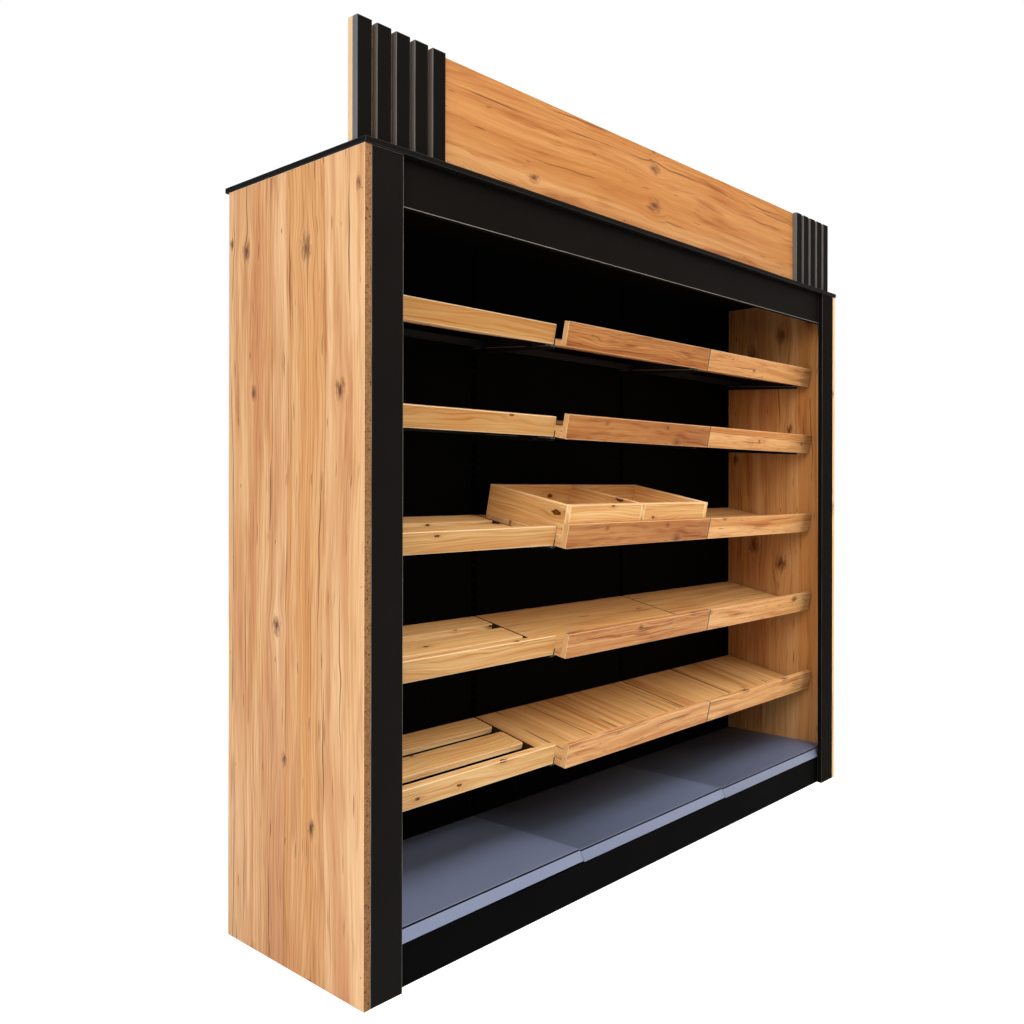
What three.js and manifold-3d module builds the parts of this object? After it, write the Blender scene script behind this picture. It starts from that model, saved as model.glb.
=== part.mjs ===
// Bakery bread rack: a wall gondola of three bays clad with wood boards.
// Millimetres, +Z up, +X to the right along the front, the front faces -Y.
// Lengths in Y are measured from the front face of the posts, and the last lines centre the rack.
import * as THREE from 'three';
import { mergeGeometries, mergeVertices } from 'three/addons/utils/BufferGeometryUtils.js';
import Module from 'manifold-3d';

// Clearances
const jointGap = 0.3;
const weldOverlap = 1;

// Bays and uprights
const bayCount = 3;
const bayWidth = 800;
const uprightWidth = 30;
const uprightDepth = 80;
const uprightWall = 2;
const slotWidth = 18;
const slotHeight = 17;
const slotPitch = 25;
const slotEndMargin = 160;
const slotTopMargin = 40;

// Side panels and posts
const panelThickness = 18;
const panelDepth = 568;
const panelHeight = 1970;
const postWidth = 97;
const postThickness = 18;

// Top panel and fascia
const topThickness = 14;
const topSideOverhang = 3;
const topFrontOverhang = 4;
const topBackOverhang = 15;
const fasciaThickness = 18;
const fasciaHeight = 116;

// Header board with its slats
const headerHeight = 286;
const headerThickness = 16;
const slatCount = 5;
const slatWidth = 44;
const slatSpacing = 59;
const slatThickness = 18;
const slatSetback = 30;
const slatRailHeight = 10;
const slatRailDepth = 9;

// Back panels
const backPanelFront = 473;
const backPanelStandoff = 5;
const backPanelSheet = 2;
const backPanelFlange = 20;
const backPanelLap = 3;
const backPanelLift = 2;

// Base: legs, plinth and base shelves
const legHeight = 117.7;
const plinthSetback = 22;
const plinthThickness = 16;
const plinthHeight = 100;
const baseSheet = 2;
const baseFlangeDepth = 14;
const baseFlangeSetback = 54;
const baseSheetFront = 40.5;
const baseGrooveDepth = 8;
const baseLipSetback = 36;
const baseLipFall = 3;
const baseLipThickness = 2.5;
const baseLipRun = 14;
const baseLipDrop = 27.5;
const baseLipEase = 1;
const baseEndGap = 1;

// Shelf levels, counted in slots above the lowest shelf, top level first
const lowestShelfHeight = 451.5;
const shelfSlots = [50, 39, 26, 13, 0];
const shelfTilt = THREE.MathUtils.degToRad(11.5);
const shelfEndGap = 2;
const shelfBackGap = 6;
const boardThickness = 18;

// Laminate shelf boards
const boardFront = 369;
const boardLipThickness = 18;
const boardLipRise = 56;

// Pine shelves
const plankWidths = [86, 96, 66];
const plankSpacing = 36;
const pineLipThickness = 20;
const pineLipRise = 42;
const battenWidth = 25;
const battenThickness = 18;
const battenInset = 16;
const battenBackGap = 16;
const battenFrontGap = 26;

// Bracket frames
const bracketPlate = 3;
const bracketOffset = 6;
const bracketReach = 342;
const bracketTipHeight = 14;
const bracketTipRound = 10;
const tipSegments = 5;
const bracketHeelDepth = 82;
const bracketTopStart = 8;
const hookDrop = 20;
const hookHeight = 12;
const hookReach = 12;
const slotDrop = 26.5;
const tieBack = 52;
const tieThickness = 6;
const tieTop = 50;
const tieHeight = 22;

// Crate, standing on one of the laminate shelves
const crateShelf = 'middle_shelf_3';
const crateHeight = 110;
const crateBoard = 18;
const crateSideGap = 3;
const crateFrontGap = 1;
const crateBackGap = 48;
const crateFloorThickness = 15;
const crateSlatCount = 3;
const crateSlatGap = 13;
const crateBridgeWidth = 24;
const crateBridgeThickness = 12;
const crateSill = 8;

// Derived lines
const width = bayCount * bayWidth + uprightWidth + 2 * (panelThickness + jointGap);
const innerLeft = panelThickness + jointGap;
const innerRight = width - innerLeft;
const firstUpright = innerLeft + uprightWidth / 2;
const uprightFront = backPanelFront + backPanelStandoff;
const uprightTop = panelHeight - jointGap;
const topBottom = panelHeight + jointGap;
const headerBottom = topBottom + topThickness + jointGap;
const baseUnderside = legHeight + jointGap;
const baseSurface = baseUnderside + baseFlangeDepth;
const shelfWidth = bayWidth - 2 * shelfEndGap;
const bayNames = ['left', 'middle', 'right'];
const pineBay = 'left';

// Finishes
const FINISHES = {
  oak: { color: 0xdca578, roughness: 0.5, metalness: 0 },
  pine: { color: 0xd8b07a, roughness: 0.6, metalness: 0 },
  black: { color: 0x1d1b1a, roughness: 0.45, metalness: 0 },
  darkSteel: { color: 0x24242a, roughness: 0.5, metalness: 0.2 },
  greySteel: { color: 0x6b6d7e, roughness: 0.45, metalness: 0.3 },
  zinc: { color: 0x8d9092, roughness: 0.4, metalness: 0.8 },
};

const X_AXIS = new THREE.Vector3(1, 0, 0);
const Y_AXIS = new THREE.Vector3(0, 1, 0);
const Z_AXIS = new THREE.Vector3(0, 0, 1);

const wasm = await Module();
wasm.setup();

function addPiece(group, name, geometry, finish) {
  const mesh = new THREE.Mesh(geometry, new THREE.MeshStandardMaterial(FINISHES[finish]));
  mesh.name = name;
  group.add(mesh);
  return mesh;
}

function box(x0, x1, y0, y1, z0, z1) {
  const geometry = new THREE.BoxGeometry(x1 - x0, y1 - y0, z1 - z0);
  geometry.translate((x0 + x1) / 2, (y0 + y1) / 2, (z0 + z1) / 2);
  return geometry;
}

function shapeOf(points) {
  return new THREE.Shape(points.map(([a, b]) => new THREE.Vector2(a, b)));
}

// A section drawn in Y and Z, extruded along X
function prismX(shape, x0, x1) {
  const settings = { depth: x1 - x0, bevelEnabled: false, curveSegments: tipSegments };
  const geometry = new THREE.ExtrudeGeometry(shape, settings);
  geometry.applyMatrix4(new THREE.Matrix4().makeBasis(Y_AXIS, Z_AXIS, X_AXIS));
  geometry.translate(x0, 0, 0);
  return geometry;
}

function rectangle(a0, a1, b0, b1) {
  return shapeOf([[a0, b0], [a1, b0], [a1, b1], [a0, b1]]);
}

function toSolid(geometry) {
  const bare = geometry.clone();
  bare.deleteAttribute('normal');
  bare.deleteAttribute('uv');
  const merged = mergeVertices(bare);
  const vertProperties = new Float32Array(merged.attributes.position.array);
  const triVerts = new Uint32Array(merged.index.array);
  return new wasm.Manifold(new wasm.Mesh({ numProp: 3, vertProperties, triVerts }));
}

function toGeometry(solid) {
  const mesh = solid.getMesh();
  const geometry = new THREE.BufferGeometry();
  geometry.setAttribute('position', new THREE.BufferAttribute(mesh.vertProperties, 3));
  geometry.setIndex(new THREE.BufferAttribute(mesh.triVerts, 1));
  geometry.computeVertexNormals();
  return geometry;
}

function join(geometries) {
  const solids = geometries.map(toSolid);
  return toGeometry(solids.reduce((whole, solid) => whole.add(solid)));
}

function uprightCentre(index) {
  return firstUpright + index * bayWidth;
}

function shelfHeight(level) {
  return lowestShelfHeight + shelfSlots[level - 1] * slotPitch;
}

// Side panels, posts, top panel and fascia
function addCladding(group) {
  addPiece(group, 'left_side_panel', box(0, panelThickness, 0, panelDepth, 0, panelHeight), 'oak');
  const rightPanelInner = width - panelThickness;
  addPiece(group, 'right_side_panel', box(rightPanelInner, width, 0, panelDepth, 0, panelHeight), 'oak');
  const leftPost = box(innerLeft, innerLeft + postWidth, 0, postThickness, 0, panelHeight);
  addPiece(group, 'left_post', leftPost, 'black');
  const rightPost = box(innerRight - postWidth, innerRight, 0, postThickness, 0, panelHeight);
  addPiece(group, 'right_post', rightPost, 'black');

  const topBack = panelDepth + topBackOverhang;
  const topRight = width + topSideOverhang;
  const topUpper = topBottom + topThickness;
  const top = box(-topSideOverhang, topRight, -topFrontOverhang, topBack, topBottom, topUpper);
  addPiece(group, 'top_panel', top, 'black');

  const fasciaFront = postThickness + jointGap;
  const fasciaBottom = uprightTop - fasciaHeight;
  const fasciaBack = fasciaFront + fasciaThickness;
  const fascia = box(innerLeft, innerRight, fasciaFront, fasciaBack, fasciaBottom, uprightTop);
  addPiece(group, 'fascia', fascia, 'black');
}

// Five slats in front of one end of the header board, joined by a low rail at their feet
function slatComb(start, direction) {
  const slatBack = slatSetback + slatThickness - jointGap;
  const headerTop = headerBottom + headerHeight;
  const pieces = [];
  for (let i = 0; i < slatCount; i += 1) {
    const near = start + direction * i * slatSpacing;
    const far = near + direction * slatWidth;
    const left = Math.min(near, far);
    pieces.push(box(left, left + slatWidth, slatSetback, slatBack, headerBottom, headerTop));
  }
  const combEnd = start + direction * ((slatCount - 1) * slatSpacing + weldOverlap);
  const railStart = start + direction * (slatWidth - weldOverlap);
  const railLeft = Math.min(railStart, combEnd);
  const railRight = Math.max(railStart, combEnd);
  const railTop = headerBottom + slatRailHeight;
  pieces.push(box(railLeft, railRight, slatBack - slatRailDepth, slatBack, headerBottom, railTop));
  return join(pieces);
}

function addHeader(group) {
  const boardNear = slatSetback + slatThickness;
  const headerTop = headerBottom + headerHeight;
  const board = box(0, width, boardNear, boardNear + headerThickness, headerBottom, headerTop);
  addPiece(group, 'header_board', board, 'oak');
  addPiece(group, 'left_header_slats', slatComb(0, 1), 'black');
  addPiece(group, 'right_header_slats', slatComb(width, -1), 'black');
}

// A steel tube with a column of slots in its front wall
function uprightGeometry(centre) {
  const left = centre - uprightWidth / 2;
  const right = centre + uprightWidth / 2;
  const back = uprightFront + uprightDepth;
  const section = rectangle(left, right, uprightFront, back);
  const boreFront = uprightFront + uprightWall;
  const bore = rectangle(left + uprightWall, right - uprightWall, boreFront, back - uprightWall);
  section.holes.push(bore);
  const tube = new THREE.ExtrudeGeometry(section, { depth: uprightTop, bevelEnabled: false });
  const anySlot = lowestShelfHeight - slotDrop;
  const rowsBelow = Math.floor((anySlot - slotEndMargin) / slotPitch);
  const rowsAbove = Math.floor((uprightTop - slotTopMargin - anySlot) / slotPitch);
  const slots = [];
  for (let row = -rowsBelow; row <= rowsAbove; row += 1) {
    const middle = anySlot + row * slotPitch;
    const slotLeft = centre - slotWidth / 2;
    const slotNear = uprightFront - weldOverlap;
    const slotFar = uprightFront + uprightWall + weldOverlap;
    const slotBottom = middle - slotHeight / 2;
    slots.push(box(slotLeft, slotLeft + slotWidth, slotNear, slotFar, slotBottom, slotBottom + slotHeight));
  }
  return toGeometry(toSolid(tube).subtract(toSolid(mergeGeometries(slots))));
}

function legGeometry(centre) {
  const near = plinthSetback + plinthThickness + jointGap;
  const far = uprightFront - jointGap;
  return box(centre - uprightWidth / 2, centre + uprightWidth / 2, near, far, 0, legHeight);
}

// A sheet with a folded flange all round, its flanges between two uprights
function backPanelGeometry(bay) {
  const flangeLeft = uprightCentre(bay) + uprightWidth / 2 + jointGap;
  const flangeRight = uprightCentre(bay + 1) - uprightWidth / 2 - jointGap;
  const bottom = baseUnderside + backPanelLift;
  const sheetBack = backPanelFront + backPanelSheet;
  const sheetLeft = flangeLeft - backPanelLap;
  const sheetRight = flangeRight + backPanelLap;
  const sheet = box(sheetLeft, sheetRight, backPanelFront, sheetBack, bottom, uprightTop);
  const flangeNear = sheetBack - backPanelSheet / 2;
  const flangeFar = backPanelFront + backPanelFlange;
  const outer = box(flangeLeft, flangeRight, flangeNear, flangeFar, bottom, uprightTop);
  const inner = box(
    flangeLeft + backPanelSheet,
    flangeRight - backPanelSheet,
    flangeNear - weldOverlap,
    flangeFar + weldOverlap,
    bottom + backPanelSheet,
    uprightTop - backPanelSheet,
  );
  const ring = toSolid(outer).subtract(toSolid(inner));
  return toGeometry(toSolid(sheet).add(ring));
}

// A sheet pan with a flange at the back and one near the front, and a sloping lip before a dark groove
function baseShelfGeometry(left, right) {
  const back = backPanelFront - jointGap;
  const under = baseSurface - baseSheet;
  const flangeBack = baseFlangeSetback + baseSheet;
  const grooveFloor = baseSurface - baseGrooveDepth;
  const lipTop = baseSurface - baseLipFall;
  const lipBack = baseLipSetback + baseLipThickness;
  const toeFront = baseLipSetback - baseLipRun;
  const toeBottom = lipTop - baseLipDrop;
  const section = shapeOf([
    [back, baseUnderside],
    [back, baseSurface],
    [baseSheetFront, baseSurface],
    [baseSheetFront, under],
    [baseFlangeSetback, under],
    [baseFlangeSetback, grooveFloor],
    [lipBack, grooveFloor],
    [lipBack, lipTop - baseLipEase],
    [baseLipSetback, lipTop],
    [toeFront, toeBottom],
    [toeFront + baseLipThickness, toeBottom - baseLipEase],
    [lipBack, grooveFloor - baseSheet],
    [baseFlangeSetback, grooveFloor - baseSheet],
    [baseFlangeSetback, baseUnderside],
    [flangeBack, baseUnderside],
    [flangeBack, under],
    [back - baseSheet, under],
    [back - baseSheet, baseUnderside],
  ]);
  return prismX(section, left, right);
}

function addBase(group) {
  for (let i = 0; i <= bayCount; i += 1) {
    addPiece(group, `upright_${i + 1}`, uprightGeometry(uprightCentre(i)), 'darkSteel');
    addPiece(group, `base_leg_${i + 1}`, legGeometry(uprightCentre(i)), 'darkSteel');
  }
  const plinthBack = plinthSetback + plinthThickness;
  const plinth = box(innerLeft, innerRight, plinthSetback, plinthBack, 0, plinthHeight);
  addPiece(group, 'plinth', plinth, 'black');
  bayNames.forEach((bayName, bay) => {
    addPiece(group, `${bayName}_back_panel`, backPanelGeometry(bay), 'darkSteel');
    const left = bay === 0 ? innerLeft : uprightCentre(bay);
    const right = bay === bayCount - 1 ? innerRight : uprightCentre(bay + 1);
    const pan = baseShelfGeometry(left + baseEndGap, right - baseEndGap);
    addPiece(group, `${bayName}_base_shelf`, pan, 'greySteel');
  });
}

// A point of the sloping shelf: reach forward along the board, rise square to it
function onSlope(reach, rise) {
  const y = -reach * Math.cos(shelfTilt) - rise * Math.sin(shelfTilt);
  const z = -reach * Math.sin(shelfTilt) + rise * Math.cos(shelfTilt);
  return new THREE.Vector2(y, z);
}

// Side plate of a bracket frame, drawn from the back point of the shelf's top face
function bracketShape() {
  const heel = uprightFront - jointGap - backPanelFront;
  const seat = -boardThickness - jointGap;
  const lowerHook = -hookDrop - 2 * slotPitch;
  const shape = new THREE.Shape();
  const topStart = onSlope(bracketTopStart, seat);
  const tipStart = onSlope(bracketReach - bracketTipRound, seat);
  const tip = onSlope(bracketReach, seat);
  const tipSide = onSlope(bracketReach, seat - bracketTipHeight + bracketTipRound);
  const tipCorner = onSlope(bracketReach, seat - bracketTipHeight);
  const tipEnd = onSlope(bracketReach - bracketTipRound, seat - bracketTipHeight);
  shape.moveTo(heel, -hookDrop);
  shape.lineTo(topStart.x, topStart.y);
  shape.lineTo(tipStart.x, tipStart.y);
  shape.lineTo(tip.x, tip.y);
  shape.lineTo(tipSide.x, tipSide.y);
  shape.quadraticCurveTo(tipCorner.x, tipCorner.y, tipEnd.x, tipEnd.y);
  shape.lineTo(heel, -bracketHeelDepth);
  shape.lineTo(heel + hookReach, -bracketHeelDepth);
  shape.lineTo(heel + hookReach, lowerHook);
  shape.lineTo(heel, lowerHook);
  shape.lineTo(heel, -hookDrop - hookHeight);
  shape.lineTo(heel + hookReach, -hookDrop - hookHeight);
  shape.lineTo(heel + hookReach, -hookDrop);
  return shape;
}

// Two bracket plates joined by a tie bar, with hooks in the upright's slots
function bracketFrameGeometry(bay) {
  const leftPlate = uprightCentre(bay) + bracketOffset - bracketPlate / 2;
  const rightPlate = uprightCentre(bay + 1) - bracketOffset - bracketPlate / 2;
  const plate = bracketShape();
  const tieLeft = leftPlate + bracketPlate - weldOverlap;
  const tieRight = rightPlate + weldOverlap;
  const tieBottom = -tieTop - tieHeight;
  return join([
    prismX(plate, leftPlate, leftPlate + bracketPlate),
    prismX(plate, rightPlate, rightPlate + bracketPlate),
    box(tieLeft, tieRight, -tieBack - tieThickness, -tieBack, tieBottom, -tieTop),
  ]);
}

// A board with an upstanding lip along its front
function laminateShelfGeometry(left) {
  const lipFront = boardFront + boardLipThickness;
  const section = shapeOf([
    [-shelfBackGap, 0],
    [-boardFront, 0],
    [-boardFront, boardLipRise],
    [-lipFront, boardLipRise],
    [-lipFront, -boardThickness],
    [-shelfBackGap, -boardThickness],
  ]);
  return prismX(section, left, left + shelfWidth);
}

// Spaced planks on two battens, with a lip along the front
function pineShelfGeometry(left) {
  const right = left + shelfWidth;
  const pieces = [];
  let reach = shelfBackGap;
  plankWidths.forEach((plank, index) => {
    const isFront = index === plankWidths.length - 1;
    const frontLine = reach + plank + (isFront ? weldOverlap : 0);
    pieces.push(box(left, right, -frontLine, -reach, -boardThickness, 0));
    reach += plank + (isFront ? 0 : plankSpacing);
  });
  pieces.push(box(left, right, -reach - pineLipThickness, -reach, -boardThickness, pineLipRise));
  const battenBottom = -boardThickness - battenThickness;
  const battenTop = -boardThickness + weldOverlap;
  [left + battenInset, right - battenInset - battenWidth].forEach((battenLeft) => {
    const battenRight = battenLeft + battenWidth;
    const battenFront = -reach + battenFrontGap;
    pieces.push(box(battenLeft, battenRight, battenFront, -battenBackGap, battenBottom, battenTop));
  });
  return join(pieces);
}

// An open crate of boards that stands on a shelf, drawn in the shelf's own slope
function addCrate(group, shelfLeft) {
  const left = shelfLeft + crateSideGap;
  const right = shelfLeft + shelfWidth - crateSideGap;
  const front = -boardFront + crateFrontGap;
  const back = -crateBackGap;
  const floorBottom = jointGap;
  const floorTop = floorBottom + crateFloorThickness;
  const wallBottom = floorTop + jointGap;
  const innerNear = front + crateBoard + jointGap;
  const innerFar = back - crateBoard - jointGap;
  const boardLeft = left + crateBoard + jointGap;
  const boardRight = right - crateBoard - jointGap;
  const middle = (left + right) / 2;
  const half = crateBoard / 2;
  const leftSide = box(left, left + crateBoard, front, back, wallBottom, crateHeight);
  const rightSide = box(right - crateBoard, right, front, back, wallBottom, crateHeight);
  const backBoard = box(boardLeft, boardRight, back - crateBoard, back, wallBottom, crateHeight);

  // The divider comes through a notch to the front board's face, above a sill
  const notchLeft = middle - half - jointGap;
  const notchRight = middle + half + jointGap;
  const notchBack = front + crateBoard + weldOverlap;
  const sillTop = wallBottom + crateSill;
  const notchTop = crateHeight + weldOverlap;
  const frontBlank = box(boardLeft, boardRight, front, front + crateBoard, wallBottom, crateHeight);
  const notch = box(notchLeft, notchRight, front - weldOverlap, notchBack, sillTop, notchTop);
  const frontBoard = toGeometry(toSolid(frontBlank).subtract(toSolid(notch)));
  const dividerShape = shapeOf([
    [innerFar, wallBottom],
    [innerFar, crateHeight],
    [front, crateHeight],
    [front, sillTop + jointGap],
    [innerNear, sillTop + jointGap],
    [innerNear, wallBottom],
  ]);
  const divider = prismX(dividerShape, middle - half, middle + half);
  addPiece(group, 'crate_left_side', leftSide, 'pine');
  addPiece(group, 'crate_right_side', rightSide, 'pine');
  addPiece(group, 'crate_front', frontBoard, 'pine');
  addPiece(group, 'crate_back', backBoard, 'pine');
  addPiece(group, 'crate_divider', divider, 'pine');

  const slatDepth = (back - front - (crateSlatCount - 1) * crateSlatGap) / crateSlatCount;
  const pieces = [];
  for (let i = 0; i < crateSlatCount; i += 1) {
    const near = front + i * (slatDepth + crateSlatGap);
    pieces.push(box(left, right, near, near + slatDepth, floorBottom, floorTop));
  }
  const bridgeLeft = middle - crateBridgeWidth / 2;
  const bridgeRight = middle + crateBridgeWidth / 2;
  const bridgeFront = front + slatDepth - weldOverlap;
  const bridgeBack = back - slatDepth + weldOverlap;
  const bridgeBottom = floorTop - crateBridgeThickness;
  pieces.push(box(bridgeLeft, bridgeRight, bridgeFront, bridgeBack, bridgeBottom, floorTop));
  addPiece(group, 'crate_floor', join(pieces), 'pine');
}

function addShelves(group) {
  bayNames.forEach((bayName, bay) => {
    const middle = (uprightCentre(bay) + uprightCentre(bay + 1)) / 2;
    const left = middle - shelfWidth / 2;
    for (let level = 1; level <= shelfSlots.length; level += 1) {
      const support = new THREE.Group();
      support.position.set(0, backPanelFront, shelfHeight(level));
      addPiece(support, `${bayName}_bracket_frame_${level}`, bracketFrameGeometry(bay), 'zinc');
      const slope = new THREE.Group();
      slope.rotation.x = shelfTilt;
      const shelfName = `${bayName}_shelf_${level}`;
      if (bayName === pineBay) {
        addPiece(slope, shelfName, pineShelfGeometry(left), 'pine');
      } else {
        addPiece(slope, shelfName, laminateShelfGeometry(left), 'oak');
      }
      if (shelfName === crateShelf) {
        addCrate(slope, left);
      }
      support.add(slope);
      group.add(support);
    }
  });
}

const rack = new THREE.Group();
const body = new THREE.Group();
addCladding(body);
addHeader(body);
addBase(body);
addShelves(body);
const overallBack = panelDepth + topBackOverhang;
body.position.set(-width / 2, -(overallBack - topFrontOverhang) / 2, 0);
rack.add(body);

export default rack;
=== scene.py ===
import bpy
import bmesh
import math
import random
from collections import namedtuple
from mathutils import Matrix, Vector


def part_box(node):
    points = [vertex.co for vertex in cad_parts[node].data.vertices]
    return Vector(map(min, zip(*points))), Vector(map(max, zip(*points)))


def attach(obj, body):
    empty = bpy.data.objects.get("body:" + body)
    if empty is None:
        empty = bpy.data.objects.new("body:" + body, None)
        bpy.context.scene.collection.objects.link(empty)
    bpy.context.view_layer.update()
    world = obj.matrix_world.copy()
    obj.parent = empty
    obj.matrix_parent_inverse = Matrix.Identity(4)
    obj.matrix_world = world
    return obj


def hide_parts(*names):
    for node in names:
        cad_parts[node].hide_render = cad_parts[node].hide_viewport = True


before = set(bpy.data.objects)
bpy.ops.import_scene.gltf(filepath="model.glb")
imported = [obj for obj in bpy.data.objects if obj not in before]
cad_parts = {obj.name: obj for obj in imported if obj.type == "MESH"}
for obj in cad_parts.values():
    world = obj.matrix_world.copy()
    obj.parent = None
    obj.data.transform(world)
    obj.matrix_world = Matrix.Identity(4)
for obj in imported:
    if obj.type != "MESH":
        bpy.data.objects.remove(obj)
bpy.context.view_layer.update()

MM = 0.001
TILT = math.radians(11.5)
BAYS = ("left", "middle", "right")
LEVELS = (1, 2, 3, 4, 5)
SHELF_BACK_MM = {1: 1701.5, 2: 1426.5, 3: 1101.5, 4: 776.5, 5: 451.5}
BACK_PANEL_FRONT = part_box("middle_back_panel")[0].y

# Settings of a mix that lays one colour over another, and of one that stains it
LAID = {"data_type": "RGBA"}
STAIN = {"data_type": "RGBA", "blend_type": "MULTIPLY"}


def paint(hex_code):
    """A sRGB hex colour as linear RGBA."""
    shades = [int(hex_code[i:i + 2], 16) / 255 for i in (0, 2, 4)]
    return tuple(s / 12.92 if s <= 0.04045 else ((s + 0.055) / 1.055) ** 2.4 for s in shades) + (1.0,)


def add(tree, kind, links=None, **settings):
    """Adds one node with its settings, then its links or values, and returns its outputs."""
    made = tree.nodes.new(kind)
    for key, value in settings.items():
        setattr(made, key, value)
    for key, value in (links or {}).items():
        if isinstance(value, bpy.types.NodeSocket):
            tree.links.new(value, made.inputs[key])
        else:
            made.inputs[key].default_value = value
    return made.outputs


def new_finish(name):
    """A material and its empty tree."""
    finish = bpy.data.materials.new(name)
    finish.use_nodes = True
    finish.node_tree.nodes.clear()
    return finish, finish.node_tree


def surfaced(finish, links):
    """The material, its surface made from the given sockets and values."""
    shader = add(finish.node_tree, "ShaderNodeBsdfPrincipled", links)[0]
    add(finish.node_tree, "ShaderNodeOutputMaterial", {"Surface": shader})
    return finish


def insets(tree):
    """How far a spot lies inside its board from the board's faces, along x, y and z."""
    middle = add(tree, "ShaderNodeAttribute", attribute_name="middle")["Vector"]
    half = add(tree, "ShaderNodeAttribute", attribute_name="half")["Vector"]
    spread = add(tree, "ShaderNodeVectorMath", {0: middle}, operation="ABSOLUTE")[0]
    inset = add(tree, "ShaderNodeVectorMath", {0: half, 1: spread}, operation="SUBTRACT")[0]
    return add(tree, "ShaderNodeSeparateXYZ", {0: inset})


def edge_nearness(tree, reach):
    """1 on a board's arris, falling to 0 at reach metres from it."""
    x, y, z = insets(tree)
    low = add(tree, "ShaderNodeMath", {0: x, 1: y}, operation="MINIMUM")[0]
    high = add(tree, "ShaderNodeMath", {0: x, 1: y}, operation="MAXIMUM")[0]
    capped = add(tree, "ShaderNodeMath", {0: high, 1: z}, operation="MINIMUM")[0]
    second = add(tree, "ShaderNodeMath", {0: low, 1: capped}, operation="MAXIMUM")[0]
    return add(
        tree, "ShaderNodeMapRange", {"Value": second, "From Max": reach, "To Min": 1.0, "To Max": 0.0},
        interpolation_type="SMOOTHSTEP",
    )[0]


def toned_with_painted_light(tree, shade):
    """A board's tone, which paints light and shade into its colour: deeper below 0, in full at -1, and paler
    above, in full at 2.
    """
    tone = add(tree, "ShaderNodeAttribute", attribute_name="tone")["Fac"]
    deep = add(tree, "ShaderNodeMath", {0: tone, 1: -1.0}, operation="MULTIPLY", use_clamp=True)[0]
    deeper = add(tree, "ShaderNodeMix", {0: deep, 6: shade, 7: paint("CBB9A2")}, **STAIN)[2]
    pale = add(tree, "ShaderNodeMath", {0: tone, 1: 0.5}, operation="MULTIPLY", use_clamp=True)[0]
    return add(tree, "ShaderNodeMix", {0: pale, 6: deeper, 7: paint("F4CB8E")}, **LAID)[2]


def end_share(tree):
    """The board's own value for its two ends along x, and 0 elsewhere."""
    ends = add(tree, "ShaderNodeAttribute", attribute_name="ends")["Fac"]
    on_end = add(
        tree, "ShaderNodeMapRange",
        {"Value": insets(tree)[0], "From Min": 0.3 * MM, "From Max": 0.9 * MM, "To Min": 1.0, "To Max": 0.0},
    )[0]
    return add(tree, "ShaderNodeMath", {0: ends, 1: on_end}, operation="MULTIPLY")[0]


def banded_ends(tree, shade):
    """A wooden board's ends: pale tape above 0; below 0 dark, the painted shade of the gap between two
    shelves.
    """
    seen = end_share(tree)
    tape = add(tree, "ShaderNodeMath", {0: seen, 1: 0.8}, operation="MULTIPLY", use_clamp=True)[0]
    # below 0 the ends are painted dark with the shade inside the gap between two shelves
    raw = add(tree, "ShaderNodeMath", {0: seen, 1: -0.95}, operation="MULTIPLY", use_clamp=True)[0]
    taped = add(tree, "ShaderNodeMix", {0: tape, 6: shade, 7: paint("E8BE86")}, **LAID)[2]
    return add(tree, "ShaderNodeMix", {0: raw, 6: taped, 7: paint("1C110A")}, **LAID)[2]


def painted_arris_highlight(tree, shade, reach, share, pale):
    """Paints a highlight along a wooden board's arrises, a paler colour where light catches the edge."""
    edged = add(tree, "ShaderNodeMath", {0: edge_nearness(tree, reach), 1: share}, operation="MULTIPLY")[0]
    return add(tree, "ShaderNodeMix", {0: edged, 6: shade, 7: paint(pale)}, **LAID)[2]


def patches(tree, place, per_metre, detail, roughness=0.5):
    """Cloudy patches, so many per metre along each axis of the place."""
    scaled = add(tree, "ShaderNodeVectorMath", {0: place, 1: per_metre}, operation="MULTIPLY")[0]
    look = {"Vector": scaled, "Scale": 1.0, "Detail": detail, "Roughness": roughness}
    return add(tree, "ShaderNodeTexNoise", look)[0]


def wood_face(tree):
    """A board's grain coordinates: along the grain, across it, and the two as a flat place."""
    grain = add(tree, "ShaderNodeAttribute", attribute_name="grain")["Vector"]
    along, side, depth = add(tree, "ShaderNodeSeparateXYZ", {0: grain})
    across = add(tree, "ShaderNodeMath", {0: side, 1: depth}, operation="ADD")[0]
    flat = add(tree, "ShaderNodeCombineXYZ", {0: along, 1: across})[0]
    return along, across, flat


def knot_spots(tree, place, per_metre, oval, least, most, odds):
    """One possible knot in each patch: the way from its middle, that distance in the knot's own size,
    and 1 where there is a knot. Least and most scale the distance for the smallest and largest knot."""
    patched = add(tree, "ShaderNodeVectorMath", {0: place, 1: per_metre}, operation="MULTIPLY")[0]
    cells = add(
        tree, "ShaderNodeTexVoronoi", {"Vector": patched, "Scale": 1.0, "Randomness": 0.9},
        voronoi_dimensions="2D",
    )
    offset = add(tree, "ShaderNodeVectorMath", {0: patched, 1: cells["Position"]}, operation="SUBTRACT")[0]
    chance, girth, _ = add(tree, "ShaderNodeSeparateColor", {0: cells["Color"]})
    shaped = add(tree, "ShaderNodeVectorMath", {0: offset, 1: oval}, operation="MULTIPLY")[0]
    away = add(tree, "ShaderNodeVectorMath", {0: shaped}, operation="LENGTH")["Value"]
    shrink = add(tree, "ShaderNodeMapRange", {"Value": girth, "To Min": least, "To Max": most})[0]
    far = add(tree, "ShaderNodeMath", {0: away, 1: shrink}, operation="MULTIPLY")[0]
    here = add(tree, "ShaderNodeMath", {0: chance, 1: odds}, operation="GREATER_THAN")[0]
    return offset, far, here


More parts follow.
